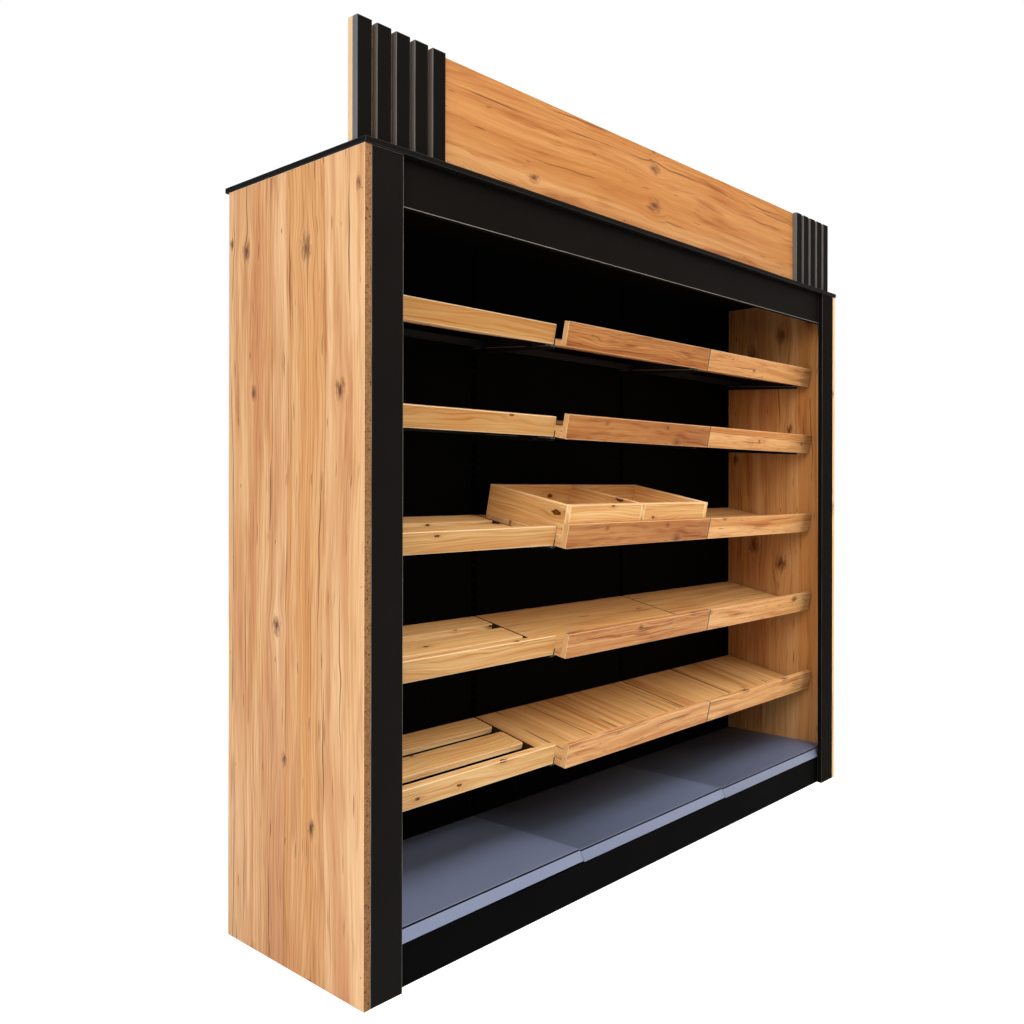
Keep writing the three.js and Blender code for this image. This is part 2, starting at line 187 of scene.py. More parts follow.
def parted_grain(tree, across, offset, near, here, push):
    """The place across the grain, which parts round the knots, and the halo in which it parts."""
    halo = add(tree, "ShaderNodeMath", {0: near, 1: here}, operation="MULTIPLY")[0]
    offset_side = add(tree, "ShaderNodeSeparateXYZ", {0: offset})[1]
    pushed = add(tree, "ShaderNodeMath", {0: offset_side, 1: halo}, operation="MULTIPLY")[0]
    parted = add(tree, "ShaderNodeMath", {0: pushed, 1: -push, 2: across}, operation="MULTIPLY_ADD")[0]
    return parted, halo


def oak_decor():
    """Melamine-faced board printed with a rustic oak: strips of honey and rose tones about 80 mm
    wide, long drying cracks, short dark pores and a few smoky knots, under a satin pressed grain."""
    finish, tree = new_finish("oak_print_melamine")
    along, across, flat = wood_face(tree)
    bold = add(tree, "ShaderNodeAttribute", attribute_name="bold")["Fac"]

    # slow wander of the strips, up to 15 mm over about a metre
    wander = patches(tree, flat, (1.1, 2.5, 1.0), 2.0)
    drifted = add(tree, "ShaderNodeMath", {0: wander, 1: 0.06, 2: across}, operation="MULTIPLY_ADD")[0]

    # one possible knot in each patch of 450 by 130 mm, a ragged smoky oval about 20 to 80 mm long
    patch = add(tree, "ShaderNodeCombineXYZ", {0: along, 1: drifted})[0]
    offset, far, here = knot_spots(tree, patch, (2.2, 7.7, 1.0), (10.5, 5.0, 0.0), 3.0, 0.85, 0.5)
    frayed = patches(tree, flat, (32.0, 95.0, 1.0), 3.0, roughness=0.6)
    torn = add(tree, "ShaderNodeMath", {0: frayed, 1: 2.6, 2: far}, operation="MULTIPLY_ADD")[0]
    smoke = add(
        tree, "ShaderNodeMapRange",
        {"Value": torn, "From Min": 1.65, "From Max": 2.6, "To Min": 0.9, "To Max": 0.0},
    )[0]
    knot_smoke = add(tree, "ShaderNodeMath", {0: smoke, 1: here}, operation="MULTIPLY")[0]
    eye = add(
        tree, "ShaderNodeMapRange",
        {"Value": torn, "From Min": 1.25, "From Max": 1.75, "To Min": 0.9, "To Max": 0.0},
    )[0]
    knot_eye = add(tree, "ShaderNodeMath", {0: eye, 1: here}, operation="MULTIPLY")[0]
    near = add(
        tree, "ShaderNodeMapRange", {"Value": far, "From Max": 3.5, "To Min": 1.0, "To Max": 0.0},
        interpolation_type="SMOOTHSTEP",
    )[0]
    parted, _ = parted_grain(tree, drifted, offset, near, here, 0.09)
    lines = add(tree, "ShaderNodeCombineXYZ", {0: along, 1: parted})[0]

    # strips of about 80 mm, each with its own tone
    uneven = add(
        tree, "ShaderNodeTexNoise", {"W": parted, "Scale": 9.0, "Detail": 0.0}, noise_dimensions="1D",
    )[0]
    strip = add(tree, "ShaderNodeMath", {0: parted, 1: 12.5, 2: uneven}, operation="MULTIPLY_ADD")[0]
    strip_number = add(tree, "ShaderNodeMath", {0: strip}, operation="FLOOR")[0]
    strip_tone = add(tree, "ShaderNodeTexWhiteNoise", {"W": strip_number}, noise_dimensions="1D")
    tone, rose, figure = add(tree, "ShaderNodeSeparateColor", {0: strip_tone["Color"]})
    cloud = patches(tree, lines, (1.3, 14.0, 1.0), 3.0)
    mellow = add(tree, "ShaderNodeMath", {0: tone, 1: 0.9, 2: cloud}, operation="MULTIPLY_ADD")[0]
    warm = add(tree, "ShaderNodeMapRange", {"Value": mellow, "From Min": 0.45, "From Max": 1.45})[0]
    honey = add(tree, "ShaderNodeMix", {0: warm, 6: paint("EEC088"), 7: paint("D69A58")}, **LAID)[2]
    blush = add(tree, "ShaderNodeMath", {0: rose, 1: cloud}, operation="MULTIPLY")[0]
    rosy = add(
        tree, "ShaderNodeMapRange", {"Value": blush, "From Min": 0.36, "From Max": 0.5, "To Max": 0.7},
    )[0]
    blushed = add(tree, "ShaderNodeMix", {0: rosy, 6: honey, 7: paint("CD8F5C")}, **LAID)[2]
    # the board's tone paints light and shade on it
    shade = toned_with_painted_light(tree, blushed)

    # streaks along the grain, about 25, 8 and 3 mm wide; real pores are 0.3 mm and wouldn't show
    for stretch, fineness, deep in ((0.9, 38.0, "E0C8AE"), (2.4, 120.0, "ECDAC6"), (9.0, 330.0, "EAD9C5")):
        streak = patches(tree, lines, (stretch, fineness, 1.0), 3.0)
        amount = add(
            tree, "ShaderNodeMapRange", {"Value": streak, "From Min": 0.4, "From Max": 0.75, "To Max": bold},
        )[0]
        shade = add(tree, "ShaderNodeMix", {0: amount, 6: shade, 7: paint(deep)}, **STAIN)[2]

    # flame lines about 13 mm apart in every third strip
    swirl = patches(tree, lines, (2.4, 11.0, 1.0), 2.5)
    turns = add(tree, "ShaderNodeMath", {0: swirl, 1: 34.0}, operation="MULTIPLY")[0]
    flame_step = 2 * math.pi / (13 * MM)
    phase = add(tree, "ShaderNodeMath", {0: parted, 1: flame_step, 2: turns}, operation="MULTIPLY_ADD")[0]
    wave = add(tree, "ShaderNodeMath", {0: phase}, operation="SINE")[0]
    flame = add(tree, "ShaderNodeMapRange", {"Value": wave, "From Min": 0.25, "To Max": 0.5})[0]
    flame_bold = add(tree, "ShaderNodeMath", {0: flame, 1: bold}, operation="MULTIPLY")[0]
    figured = add(
        tree, "ShaderNodeMapRange", {"Value": figure, "From Min": 0.6, "From Max": 0.75, "To Min": 0.05},
    )[0]
    flame_amount = add(tree, "ShaderNodeMath", {0: flame_bold, 1: figured}, operation="MULTIPLY")[0]
    shade = add(tree, "ShaderNodeMix", {0: flame_amount, 6: shade, 7: paint("C89C74")}, **STAIN)[2]

    # printed joints, 2 mm wide and broken, along every third strip
    into = add(tree, "ShaderNodeMath", {0: strip}, operation="FRACT")[0]
    joint = add(
        tree, "ShaderNodeMapRange",
        {"Value": into, "From Min": 0.012, "From Max": 0.03, "To Min": 0.8, "To Max": 0.0},
    )[0]
    jointed = add(tree, "ShaderNodeMath", {0: figure, 1: 0.66}, operation="GREATER_THAN")[0]
    joint_line = add(tree, "ShaderNodeMath", {0: joint, 1: jointed}, operation="MULTIPLY")[0]
    gappy = patches(tree, flat, (3.5, 4.0, 1.0), 2.0)
    unbroken = add(tree, "ShaderNodeMapRange", {"Value": gappy, "From Min": 0.42, "From Max": 0.52})[0]
    joint_seen = add(tree, "ShaderNodeMath", {0: joint_line, 1: unbroken}, operation="MULTIPLY")[0]
    shade = add(tree, "ShaderNodeMix", {0: joint_seen, 6: shade, 7: paint("5A371C")}, **LAID)[2]

    # smoky smears about 35 by 350 mm, broken up along the fibres
    smear = patches(tree, lines, (2.8, 28.0, 1.0), 2.0)
    thread = patches(tree, lines, (7.0, 170.0, 1.0), 3.0)
    broken = add(tree, "ShaderNodeMath", {0: thread, 1: 0.45, 2: smear}, operation="MULTIPLY_ADD")[0]
    smeared = add(
        tree, "ShaderNodeMapRange", {"Value": broken, "From Min": 0.77, "From Max": 0.99, "To Max": bold},
    )[0]
    shade = add(tree, "ShaderNodeMix", {0: smeared, 6: shade, 7: paint("C49868")}, **STAIN)[2]

    # cracks, then dashes: length and width of a cell, shortest and longest half length and half width
    # in metres, and the share of cells with one
    sway = patches(tree, flat, (8.0, 5.0, 1.0), 2.0)
    bent = add(tree, "ShaderNodeMath", {0: sway, 1: 0.018, 2: parted}, operation="MULTIPLY_ADD")[0]
    bent_place = add(tree, "ShaderNodeCombineXYZ", {0: along, 1: bent})[0]
    pressed = knot_eye
    dash_share = add(tree, "ShaderNodeMath", {0: bold, 1: 0.45}, operation="MULTIPLY")[0]
    for long, wide, shortest, longest, half_width, share in (
        (0.55, 0.085, 0.05, 0.22, 0.0026, 0.65),
        (0.15, 0.026, 0.006, 0.034, 0.0018, dash_share),
    ):
        inside = add(
            tree, "ShaderNodeVectorMath", {0: bent_place, 1: (1 / long, 1 / wide, 1.0)}, operation="MULTIPLY",
        )[0]
        splits = add(
            tree, "ShaderNodeTexVoronoi", {"Vector": inside, "Scale": 1.0, "Randomness": 1.0},
            voronoi_dimensions="2D",
        )
        off = add(tree, "ShaderNodeVectorMath", {0: inside, 1: splits["Position"]}, operation="SUBTRACT")[0]
        odds, size, dark = add(tree, "ShaderNodeSeparateColor", {0: splits["Color"]})
        run, aside, _ = add(tree, "ShaderNodeSeparateXYZ", {0: off})
        half_length = add(
            tree, "ShaderNodeMapRange", {"Value": size, "To Min": shortest / long, "To Max": longest / long},
        )[0]
        gone = add(tree, "ShaderNodeMath", {0: run, 1: half_length}, operation="DIVIDE")[0]
        squared = add(tree, "ShaderNodeMath", {0: gone, 1: gone}, operation="MULTIPLY")[0]
        lens = add(tree, "ShaderNodeMath", {0: 1.0, 1: squared}, operation="SUBTRACT", use_clamp=True)[0]
        width = add(
            tree, "ShaderNodeMath", {0: lens, 1: half_width / wide, 2: 0.0001}, operation="MULTIPLY_ADD",
        )[0]
        beside = add(tree, "ShaderNodeMath", {0: aside}, operation="ABSOLUTE")[0]
        inward = add(tree, "ShaderNodeMath", {0: beside, 1: width}, operation="DIVIDE")[0]
        line = add(
            tree, "ShaderNodeMapRange",
            {"Value": inward, "From Min": 0.4, "From Max": 1.3, "To Min": 1.0, "To Max": 0.0},
        )[0]
        present = add(tree, "ShaderNodeMath", {0: odds, 1: share}, operation="LESS_THAN")[0]
        strength = add(tree, "ShaderNodeMapRange", {"Value": dark, "To Min": 0.25})[0]
        shown = add(tree, "ShaderNodeMath", {0: line, 1: present}, operation="MULTIPLY")[0]
        crack = add(tree, "ShaderNodeMath", {0: shown, 1: strength}, operation="MULTIPLY")[0]
        shade = add(tree, "ShaderNodeMix", {0: crack, 6: shade, 7: paint("643816")}, **LAID)[2]
        pressed = add(tree, "ShaderNodeMath", {0: pressed, 1: crack}, operation="MAXIMUM")[0]

    smoked = add(tree, "ShaderNodeMix", {0: knot_smoke, 6: shade, 7: paint("7A4C2C")}, **LAID)[2]
    knotted = add(tree, "ShaderNodeMix", {0: knot_eye, 6: smoked, 7: paint("482A16")}, **LAID)[2]
    # a painted highlight along the arrises, then the ends' tape or their painted gap shade
    colour = banded_ends(tree, painted_arris_highlight(tree, knotted, 2.0 * MM, 0.7, "F6DDB4"))
    gloss = add(
        tree, "ShaderNodeMapRange",
        {"Value": cloud, "From Min": 0.3, "From Max": 0.7, "To Min": 0.46, "To Max": 0.56},
    )[0]
    normal = add(
        tree, "ShaderNodeBump", {"Strength": 0.25, "Distance": 0.4 * MM, "Height": pressed}, invert=True,
    )[0]
    return surfaced(finish, {
        "Base Color": colour, "Roughness": gloss, "Normal": normal, "IOR": 1.5, "Specular IOR Level": 0.2,
    })


def pine_timber():
    """Planed and waxed spruce-pine: pale wood with broad amber zones, soft late-wood lines and small
    brown knots with a dark rim, round which the grain parts."""
    finish, tree = new_finish("planed_pine")
    along, across, flat = wood_face(tree)

    # one possible knot in each patch of 190 by 70 mm, a ragged oval up to about 40 by 17 mm
    offset, regular, here = knot_spots(tree, flat, (5.3, 14.3, 1.0), (8.5, 7.0, 0.0), 2.8, 1.1, 0.55)
    rag = add(tree, "ShaderNodeTexNoise", {"Vector": flat, "Scale": 90.0, "Detail": 2.0})[0]
    ragged = add(tree, "ShaderNodeMath", {0: rag, 1: 1.3, 2: -0.65}, operation="MULTIPLY_ADD")[0]
    far = add(tree, "ShaderNodeMath", {0: regular, 1: ragged}, operation="ADD")[0]
    core, rim, near = (
        add(
            tree, "ShaderNodeMapRange",
            {"Value": far, "From Min": start, "From Max": end, "To Min": first, "To Max": 1.0 - first},
            interpolation_type="SMOOTHSTEP",
        )[0]
        for start, end, first in ((0.75, 1.15, 1.0), (0.2, 0.9, 0.0), (0.8, 4.5, 1.0))
    )

    # the grain wanders slowly and parts round the knots
    wander = patches(tree, flat, (1.4, 8.0, 1.0), 3.0)
    parted, halo = parted_grain(tree, across, offset, near, here, 0.05)
    drift = add(tree, "ShaderNodeMath", {0: wander, 1: 0.09, 2: parted}, operation="MULTIPLY_ADD")[0]
    lines = add(tree, "ShaderNodeCombineXYZ", {0: along, 1: drift})[0]

    # amber zones about 30 mm wide, then fibres of 6 mm and late-wood lines 8 mm apart
    zone = patches(tree, lines, (1.2, 30.0, 1.0), 3.0)
    amber = add(tree, "ShaderNodeMapRange", {"Value": zone, "From Min": 0.38, "From Max": 0.68})[0]
    fibre = patches(tree, lines, (3.0, 170.0, 1.0), 4.0)
    streak = add(tree, "ShaderNodeMapRange", {"Value": fibre, "From Min": 0.38, "From Max": 0.68})[0]
    late_step = 2 * math.pi / (8 * MM)
    phase = add(tree, "ShaderNodeMath", {0: drift, 1: late_step}, operation="MULTIPLY")[0]
    wave = add(tree, "ShaderNodeMath", {0: phase}, operation="SINE")[0]
    late = add(tree, "ShaderNodeMapRange", {"Value": wave, "From Min": 0.2})[0]
    late_seen = add(tree, "ShaderNodeMath", {0: late, 1: streak}, operation="MULTIPLY")[0]

    bold = add(tree, "ShaderNodeAttribute", attribute_name="bold")["Fac"]
    heart = add(tree, "ShaderNodeMath", {0: amber, 1: bold}, operation="MULTIPLY")[0]
    piece = add(tree, "ShaderNodeMix", {0: heart, 6: paint("F3D097"), 7: paint("D99C58")}, **LAID)[2]
    # the board's tone paints light and shade on it
    ground = toned_with_painted_light(tree, piece)
    fibrous = add(tree, "ShaderNodeMix", {0: streak, 6: ground, 7: paint("EBD5B6")}, **STAIN)[2]
    lined = add(tree, "ShaderNodeMix", {0: late_seen, 6: fibrous, 7: paint("E9CFAC")}, **STAIN)[2]
    halo_amount = add(tree, "ShaderNodeMath", {0: halo, 1: 0.35}, operation="MULTIPLY")[0]
    haloed = add(tree, "ShaderNodeMix", {0: halo_amount, 6: lined, 7: paint("BE8244")}, **LAID)[2]
    knot_tone = add(tree, "ShaderNodeMix", {0: rim, 6: paint("7C4418"), 7: paint("3C1C08")}, **LAID)[2]
    knot_amount = add(tree, "ShaderNodeMath", {0: core, 1: here}, operation="MULTIPLY")[0]
    knotted = add(tree, "ShaderNodeMix", {0: knot_amount, 6: haloed, 7: knot_tone}, **LAID)[2]
    # a painted highlight along the arrises, then the ends' tape or their painted gap shade
    colour = banded_ends(tree, painted_arris_highlight(tree, knotted, 3.5 * MM, 0.75, "FBE6C0"))
    gloss = add(tree, "ShaderNodeMapRange", {"Value": late_seen, "To Min": 0.58, "To Max": 0.46})[0]
    normal = add(tree, "ShaderNodeBump", {"Strength": 0.15, "Distance": 0.3 * MM, "Height": late_seen})[0]
    return surfaced(finish, {
        "Base Color": colour, "Roughness": gloss, "Normal": normal, "IOR": 1.48, "Specular IOR Level": 0.2,
    })


def black_melamine():
    """Black melamine-faced board: a dull, very dark sheet with a fine pressed grit, with a painted highlight
    along its arrises and a painted sheen on its cut ends. A board's tone is how strong the painted arris
    highlight is, its boldness how far it shines."""
    finish, tree = new_finish("black_melamine")
    place = add(tree, "ShaderNodeTexCoord")["Object"]
    # the grit is about 0.2 mm; drawn at 3 mm so that it shows
    grit = add(tree, "ShaderNodeTexNoise", {"Vector": place, "Scale": 1 / (3 * MM), "Detail": 2.0})[0]
    cloud = add(tree, "ShaderNodeTexNoise", {"Vector": place, "Scale": 4.0, "Detail": 3.0})[0]
    base = add(tree, "ShaderNodeMix", {0: cloud, 6: paint("0E0C0A"), 7: paint("13110F")}, **LAID)[2]
    rub = patches(tree, place, (9.0, 9.0, 9.0), 3.0)
    painted_light_amount = add(tree, "ShaderNodeAttribute", attribute_name="tone")["Fac"]
    # painted highlight along the arrises, in patches
    patchy = add(tree, "ShaderNodeMath", {0: edge_nearness(tree, 2.6 * MM), 1: rub}, operation="MULTIPLY")[0]
    highlight_share = add(tree, "ShaderNodeMath", {0: patchy, 1: painted_light_amount}, operation="MULTIPLY")[0]
    rubbed = add(tree, "ShaderNodeMix", {0: highlight_share, 6: base, 7: paint("B4B0A8")}, **LAID)[2]
    # painted sheen on the cut ends, for the room's light reflected there
    colour = add(tree, "ShaderNodeMix", {0: end_share(tree), 6: rubbed, 7: paint("84807C")}, **LAID)[2]
    gloss = add(
        tree, "ShaderNodeMapRange",
        {"Value": grit, "From Min": 0.3, "From Max": 0.7, "To Min": 0.5, "To Max": 0.62},
    )[0]
    normal = add(tree, "ShaderNodeBump", {"Strength": 0.08, "Distance": 0.2 * MM, "Height": grit})[0]
    bold = add(tree, "ShaderNodeAttribute", attribute_name="bold")["Fac"]
    sheen = add(tree, "ShaderNodeMath", {0: bold, 1: 0.035}, operation="MULTIPLY")[0]
    return surfaced(finish, {
        "Base Color": colour, "Roughness": gloss, "Normal": normal, "IOR": 1.5, "Specular IOR Level": sheen,
    })


def powder_coat(name, pale, deep, smooth, coarse, sheen):
    """Powder-coated sheet steel: an even colour with the soft orange-peel ripple of the baked coat. A tone
    above 0 paints light on it and below 0 paints shade, as on the pans' lips, folds and groove."""
    finish, tree = new_finish(name)
    place = add(tree, "ShaderNodeTexCoord")["Object"]
    # the ripple is about 1.5 mm; drawn at 4 mm so that it shows
    peel = add(tree, "ShaderNodeTexNoise", {"Vector": place, "Scale": 1 / (4 * MM), "Detail": 1.0})[0]
    cloud = add(tree, "ShaderNodeTexNoise", {"Vector": place, "Scale": 3.0, "Detail": 4.0})[0]
    coat = add(tree, "ShaderNodeMix", {0: cloud, 6: paint(pale), 7: paint(deep)}, **LAID)[2]
    tone = add(tree, "ShaderNodeAttribute", attribute_name="tone")["Fac"]
    # painted light above 0, painted shade below 0
    rubbed = add(tree, "ShaderNodeMath", {0: tone, 1: 1.0}, operation="MULTIPLY", use_clamp=True)[0]
    painted_shade_share = add(tree, "ShaderNodeMath", {0: tone, 1: -1.0}, operation="MULTIPLY", use_clamp=True)[0]
    paler = add(tree, "ShaderNodeMix", {0: rubbed, 6: coat, 7: paint("939DB9")}, **LAID)[2]
    colour = add(tree, "ShaderNodeMix", {0: painted_shade_share, 6: paler, 7: paint("0C0C10")}, **LAID)[2]
    gloss = add(
        tree, "ShaderNodeMapRange",
        {"Value": cloud, "From Min": 0.3, "From Max": 0.7, "To Min": smooth, "To Max": coarse},
    )[0]
    normal = add(tree, "ShaderNodeBump", {"Strength": 0.06, "Distance": 0.3 * MM, "Height": peel})[0]
    return surfaced(finish, {
        "Base Color": colour, "Roughness": gloss, "Normal": normal, "Specular IOR Level": sheen,
    })


def screw_steel():
    """Blackened screw steel, darker and lighter in small spots where the blacking is rubbed."""
    finish, tree = new_finish("blackened_screw_steel")
    place = add(tree, "ShaderNodeTexCoord")["Object"]
    rub = add(tree, "ShaderNodeTexNoise", {"Vector": place, "Scale": 1 / (2 * MM), "Detail": 2.0})[0]
    colour = add(tree, "ShaderNodeMix", {0: rub, 6: paint("1A1511"), 7: paint("4A4038")}, **LAID)[2]
    gloss = add(
        tree, "ShaderNodeMapRange",
        {"Value": rub, "From Min": 0.3, "From Max": 0.7, "To Min": 0.35, "To Max": 0.55},
    )[0]
    return surfaced(finish, {"Base Color": colour, "Roughness": gloss, "Metallic": 0.6})


def grey_edging():
    """Grey ABS edging tape: a smooth pale strip with slight scuffs; its paleness is also a painted highlight.
    """
    finish, tree = new_finish("grey_abs_edging")
    place = add(tree, "ShaderNodeTexCoord")["Object"]
    scuff = patches(tree, place, (6.0, 200.0, 200.0), 3.0)
    colour = add(tree, "ShaderNodeMix", {0: scuff, 6: paint("A09D97"), 7: paint("7A7771")}, **LAID)[2]
    gloss = add(
        tree, "ShaderNodeMapRange",
        {"Value": scuff, "From Min": 0.3, "From Max": 0.7, "To Min": 0.35, "To Max": 0.5},
    )[0]
    return surfaced(finish, {"Base Color": colour, "Roughness": gloss, "IOR": 1.52})


def raw_chipboard():
    """Bare chipboard on a sawn edge: dull brown chips about 4 mm across, with a few dark holes."""
    finish, tree = new_finish("raw_chipboard")
    place = add(tree, "ShaderNodeTexCoord")["Object"]
    chips = add(tree, "ShaderNodeTexVoronoi", {"Vector": place, "Scale": 1 / (4 * MM)})["Color"]
    chip = add(tree, "ShaderNodeSeparateColor", {0: chips})[0]
    wood = add(tree, "ShaderNodeMix", {0: chip, 6: paint("6E4A28"), 7: paint("96683A")}, **LAID)[2]
    hole = add(tree, "ShaderNodeMath", {0: chip, 1: 0.975}, operation="GREATER_THAN")[0]
    colour = add(tree, "ShaderNodeMix", {0: hole, 6: wood, 7: paint("3A2614")}, **LAID)[2]
    normal = add(tree, "ShaderNodeBump", {"Strength": 0.2, "Distance": 0.5 * MM, "Height": chip})[0]
    return surfaced(finish, {"Base Color": colour, "Roughness": 0.85, "Normal": normal})


OAK = oak_decor()
CHIPBOARD = raw_chipboard()
PINE = pine_timber()
BLACK = black_melamine()
BLACK_STEEL = powder_coat("black_powder_coat", "030303", "060606", 0.7, 0.8, 0.02)
BRACKET_STEEL = powder_coat("bracket_powder_coat", "0E0E0E", "161616", 0.6, 0.7, 0.1)
GREY_STEEL = powder_coat("blue_grey_powder_coat", "818CAA", "747F9C", 0.4, 0.48, 0.4)
# a pale grey for the painted highlights on the brackets' noses and lower edges
BRACKET_HIGHLIGHT_STEEL = powder_coat("rubbed_grey_powder_coat", "6E6E68", "5A5A55", 0.4, 0.5, 0.4)
SCREW = screw_steel()
EDGING = grey_edging()


# One board: its lowest and highest corner, the axis its grain runs along, a seed for its own figure, the
# rounding of its edges, its place in the rack, which of the piece's finishes it has, how pale (up to 2) or
# deep (down to -1) it is painted, which paints light and shade on wood and a highlight on black arrises, the
# rounding of its four corners seen from above, its ends, pale tape (1) or painted dark with a gap's shade
# (-1) and on black boards a painted sheen, and how many times finer and how bold its figure is
Board = namedtuple(
    "Board", "low high axis seed ease place finish tone corner ends figure bold",
    defaults=(None, 0, 0.0, 0.0, 0.0, 1.0, 1.0),
)


def eased_box(low, high, ease, corner):
    """Vertices and faces of a box whose upright edges are rounded by corner and then all edges by ease."""
    made = bmesh.new()
    bmesh.ops.create_cube(made, size=1.0)
    bmesh.ops.scale(made, vec=high - low, verts=made.verts)
    bmesh.ops.translate(made, vec=(low + high) / 2, verts=made.verts)
    if corner:
        upright = [e for e in made.edges if abs((e.verts[0].co - e.verts[1].co).z) > corner / 2]
        bmesh.ops.bevel(made, geom=upright, offset=corner, segments=5, profile=0.5, affect="EDGES")
    sharp = [e for e in made.edges if e.calc_face_angle() > math.radians(60)]
    bmesh.ops.bevel(made, geom=sharp, offset=ease, segments=3, profile=0.5, affect="EDGES")
    made.verts.index_update()
    verts = [v.co.copy() for v in made.verts]
    faces = [[v.index for v in f.verts] for f in made.faces]
    made.free()
    return verts, faces


def boards_mesh(name, boards, finishes):
    """One mesh of eased boards. The grain coordinates run along, across and into each board, shifted
    by its seed."""
    verts, faces, numbers = [], [], []
    grains, middles, halves = [], [], []
    tones, ends, bolds = [], [], []
    for board in boards:
        chance = random.Random(board.seed)
        shift = Vector((chance.uniform(0, 40), chance.uniform(0, 40), chance.uniform(0, 4)))
        low, high = Vector(board.low), Vector(board.high)
        size = high - low
        wide, thin = sorted((i for i in range(3) if i != board.axis), key=lambda i: -size[i])
        start = len(verts)
        points, rings = eased_box(low, high, board.ease, board.corner)
        for p in points:
            local = p - (low + high) / 2
            grains.append(Vector((local[board.axis], local[wide], local[thin])) * board.figure + shift)
            middles.append(local)
            halves.append(size / 2)
            tones.append(board.tone)
            ends.append(board.ends)
            bolds.append(board.bold)
            verts.append(board.place @ p if board.place else p)
        faces.extend([[start + i for i in ring] for ring in rings])
        numbers.extend([board.finish] * len(rings))
    mesh = bpy.data.meshes.new(name)
    mesh.from_pydata(verts, [], faces)
    for label, values in (("grain", grains), ("middle", middles), ("half", halves)):
        layer = mesh.attributes.new(label, "FLOAT_VECTOR", "POINT")
        layer.data.foreach_set("vector", [c for v in values for c in v])
    for label, values in (("tone", tones), ("ends", ends), ("bold", bolds)):
        mesh.attributes.new(label, "FLOAT", "POINT").data.foreach_set("value", values)
    for finish in finishes:
        mesh.materials.append(finish)
    mesh.polygons.foreach_set("material_index", numbers)
    mesh.update()
    return mesh


def place_piece(name, mesh, body, slot, *nodes):
    """An object for a finished mesh, riding on its body and standing for its CAD nodes."""
    piece = bpy.data.objects.new(name, mesh)
    bpy.context.scene.collection.objects.link(piece)
    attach(piece, body)
    if nodes:
        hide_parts(*nodes)
    return piece


def place_boards(name, boards, finishes, body, slot, *nodes):
    """Boards put in place as one piece."""
    return place_piece(name, boards_mesh(name, boards, finishes), body, slot, *nodes)


def new_growth(name, *sizes):
    """A node tree with a shape in and out and named inputs for its sizes and finish, and its inputs."""
    tree = bpy.data.node_groups.new(name, "GeometryNodeTree")
    tree.is_modifier = True
    for label, kind in (("Geometry", "Geometry"), *sizes, ("Finish", "Material")):
        tree.interface.new_socket(label, in_out="INPUT", socket_type="NodeSocket" + kind)
    tree.interface.new_socket("Geometry", in_out="OUTPUT", socket_type="NodeSocketGeometry")
    return tree, add(tree, "NodeGroupInput")


def copied_out(tree, finish, links):
    """Sets a shape on every point, makes the copies real and gives them their finish."""
    copies = add(tree, "GeometryNodeInstanceOnPoints", links)[0]
    solid = add(tree, "GeometryNodeRealizeInstances", {0: copies})[0]
    finished = add(tree, "GeometryNodeSetMaterial", {"Geometry": solid, "Material": finish})[0]
    add(tree, "NodeGroupOutput", {0: finished})
    return tree


def repeat_tree():
    """Repeats the incoming shape in a row."""
    tree, given = new_growth("row_of_copies", ("Count", "Int"), ("Step", "Vector"))
    line = add(tree, "GeometryNodeMeshLine", {"Count": given["Count"], "Offset": given["Step"]})[0]
    return copied_out(tree, given["Finish"], {"Points": line, "Instance": given["Geometry"]})


def screw_tree():
    """Sets a flat screw head with a cross recess on every point, turned to the point's facing."""
    tree, given = new_growth("screw_heads", ("Head", "Float"), ("Rise", "Float"))
    head, rise = given["Head"], given["Rise"]
    crown, arm, blade = (
        add(tree, "ShaderNodeMath", {0: head, 1: share}, operation="MULTIPLY")[0]
        for share in (0.8, 1.1, 0.26)
    )
    disc = add(
        tree, "GeometryNodeMeshCone",
        {"Vertices": 14, "Radius Top": crown, "Radius Bottom": head, "Depth": rise},
    )["Mesh"]
    bars = add(tree, "GeometryNodeJoinGeometry")
    for long, wide in ((arm, blade), (blade, arm)):
        size = add(tree, "ShaderNodeCombineXYZ", {0: long, 1: wide, 2: rise})[0]
        bar = add(tree, "GeometryNodeMeshCube", {"Size": size})["Mesh"]
        tree.links.new(bar, bars[0].node.inputs[0])
    sunk = add(tree, "ShaderNodeCombineXYZ", {2: rise})[0]
    raised = add(tree, "GeometryNodeTransform", {"Geometry": bars[0], "Translation": sunk})[0]
    recessed = add(
        tree, "GeometryNodeMeshBoolean", {"Mesh 1": disc, "Mesh 2": raised}, operation="DIFFERENCE",
    )["Mesh"]
    facing = add(tree, "GeometryNodeInputNamedAttribute", {"Name": "facing"}, data_type="FLOAT_VECTOR")[0]
    turned = add(tree, "FunctionNodeAlignRotationToVector", {"Vector": facing}, axis="Z")[0]
    links = {"Points": given["Geometry"], "Instance": recessed, "Rotation": turned}
    return copied_out(tree, given["Finish"], links)


def grown(mesh, tree, **sizes):
    """The plain mesh that a node tree makes from a mesh and its named sizes."""
    holder = bpy.data.objects.new("holder", mesh)
    bpy.context.scene.collection.objects.link(holder)
    step = holder.modifiers.new("grow", "NODES")
    step.node_group = tree
    for item in tree.interface.items_tree:
        if item.in_out == "INPUT" and item.name in sizes:
            step[item.identifier] = sizes[item.name]
    drawn = bpy.context.evaluated_depsgraph_get()
    made = bpy.data.meshes.new_from_object(holder.evaluated_get(drawn))
    holder.modifiers.clear()
    bpy.data.objects.remove(holder)
    return made


ROW = repeat_tree()
SCREWS = screw_tree()


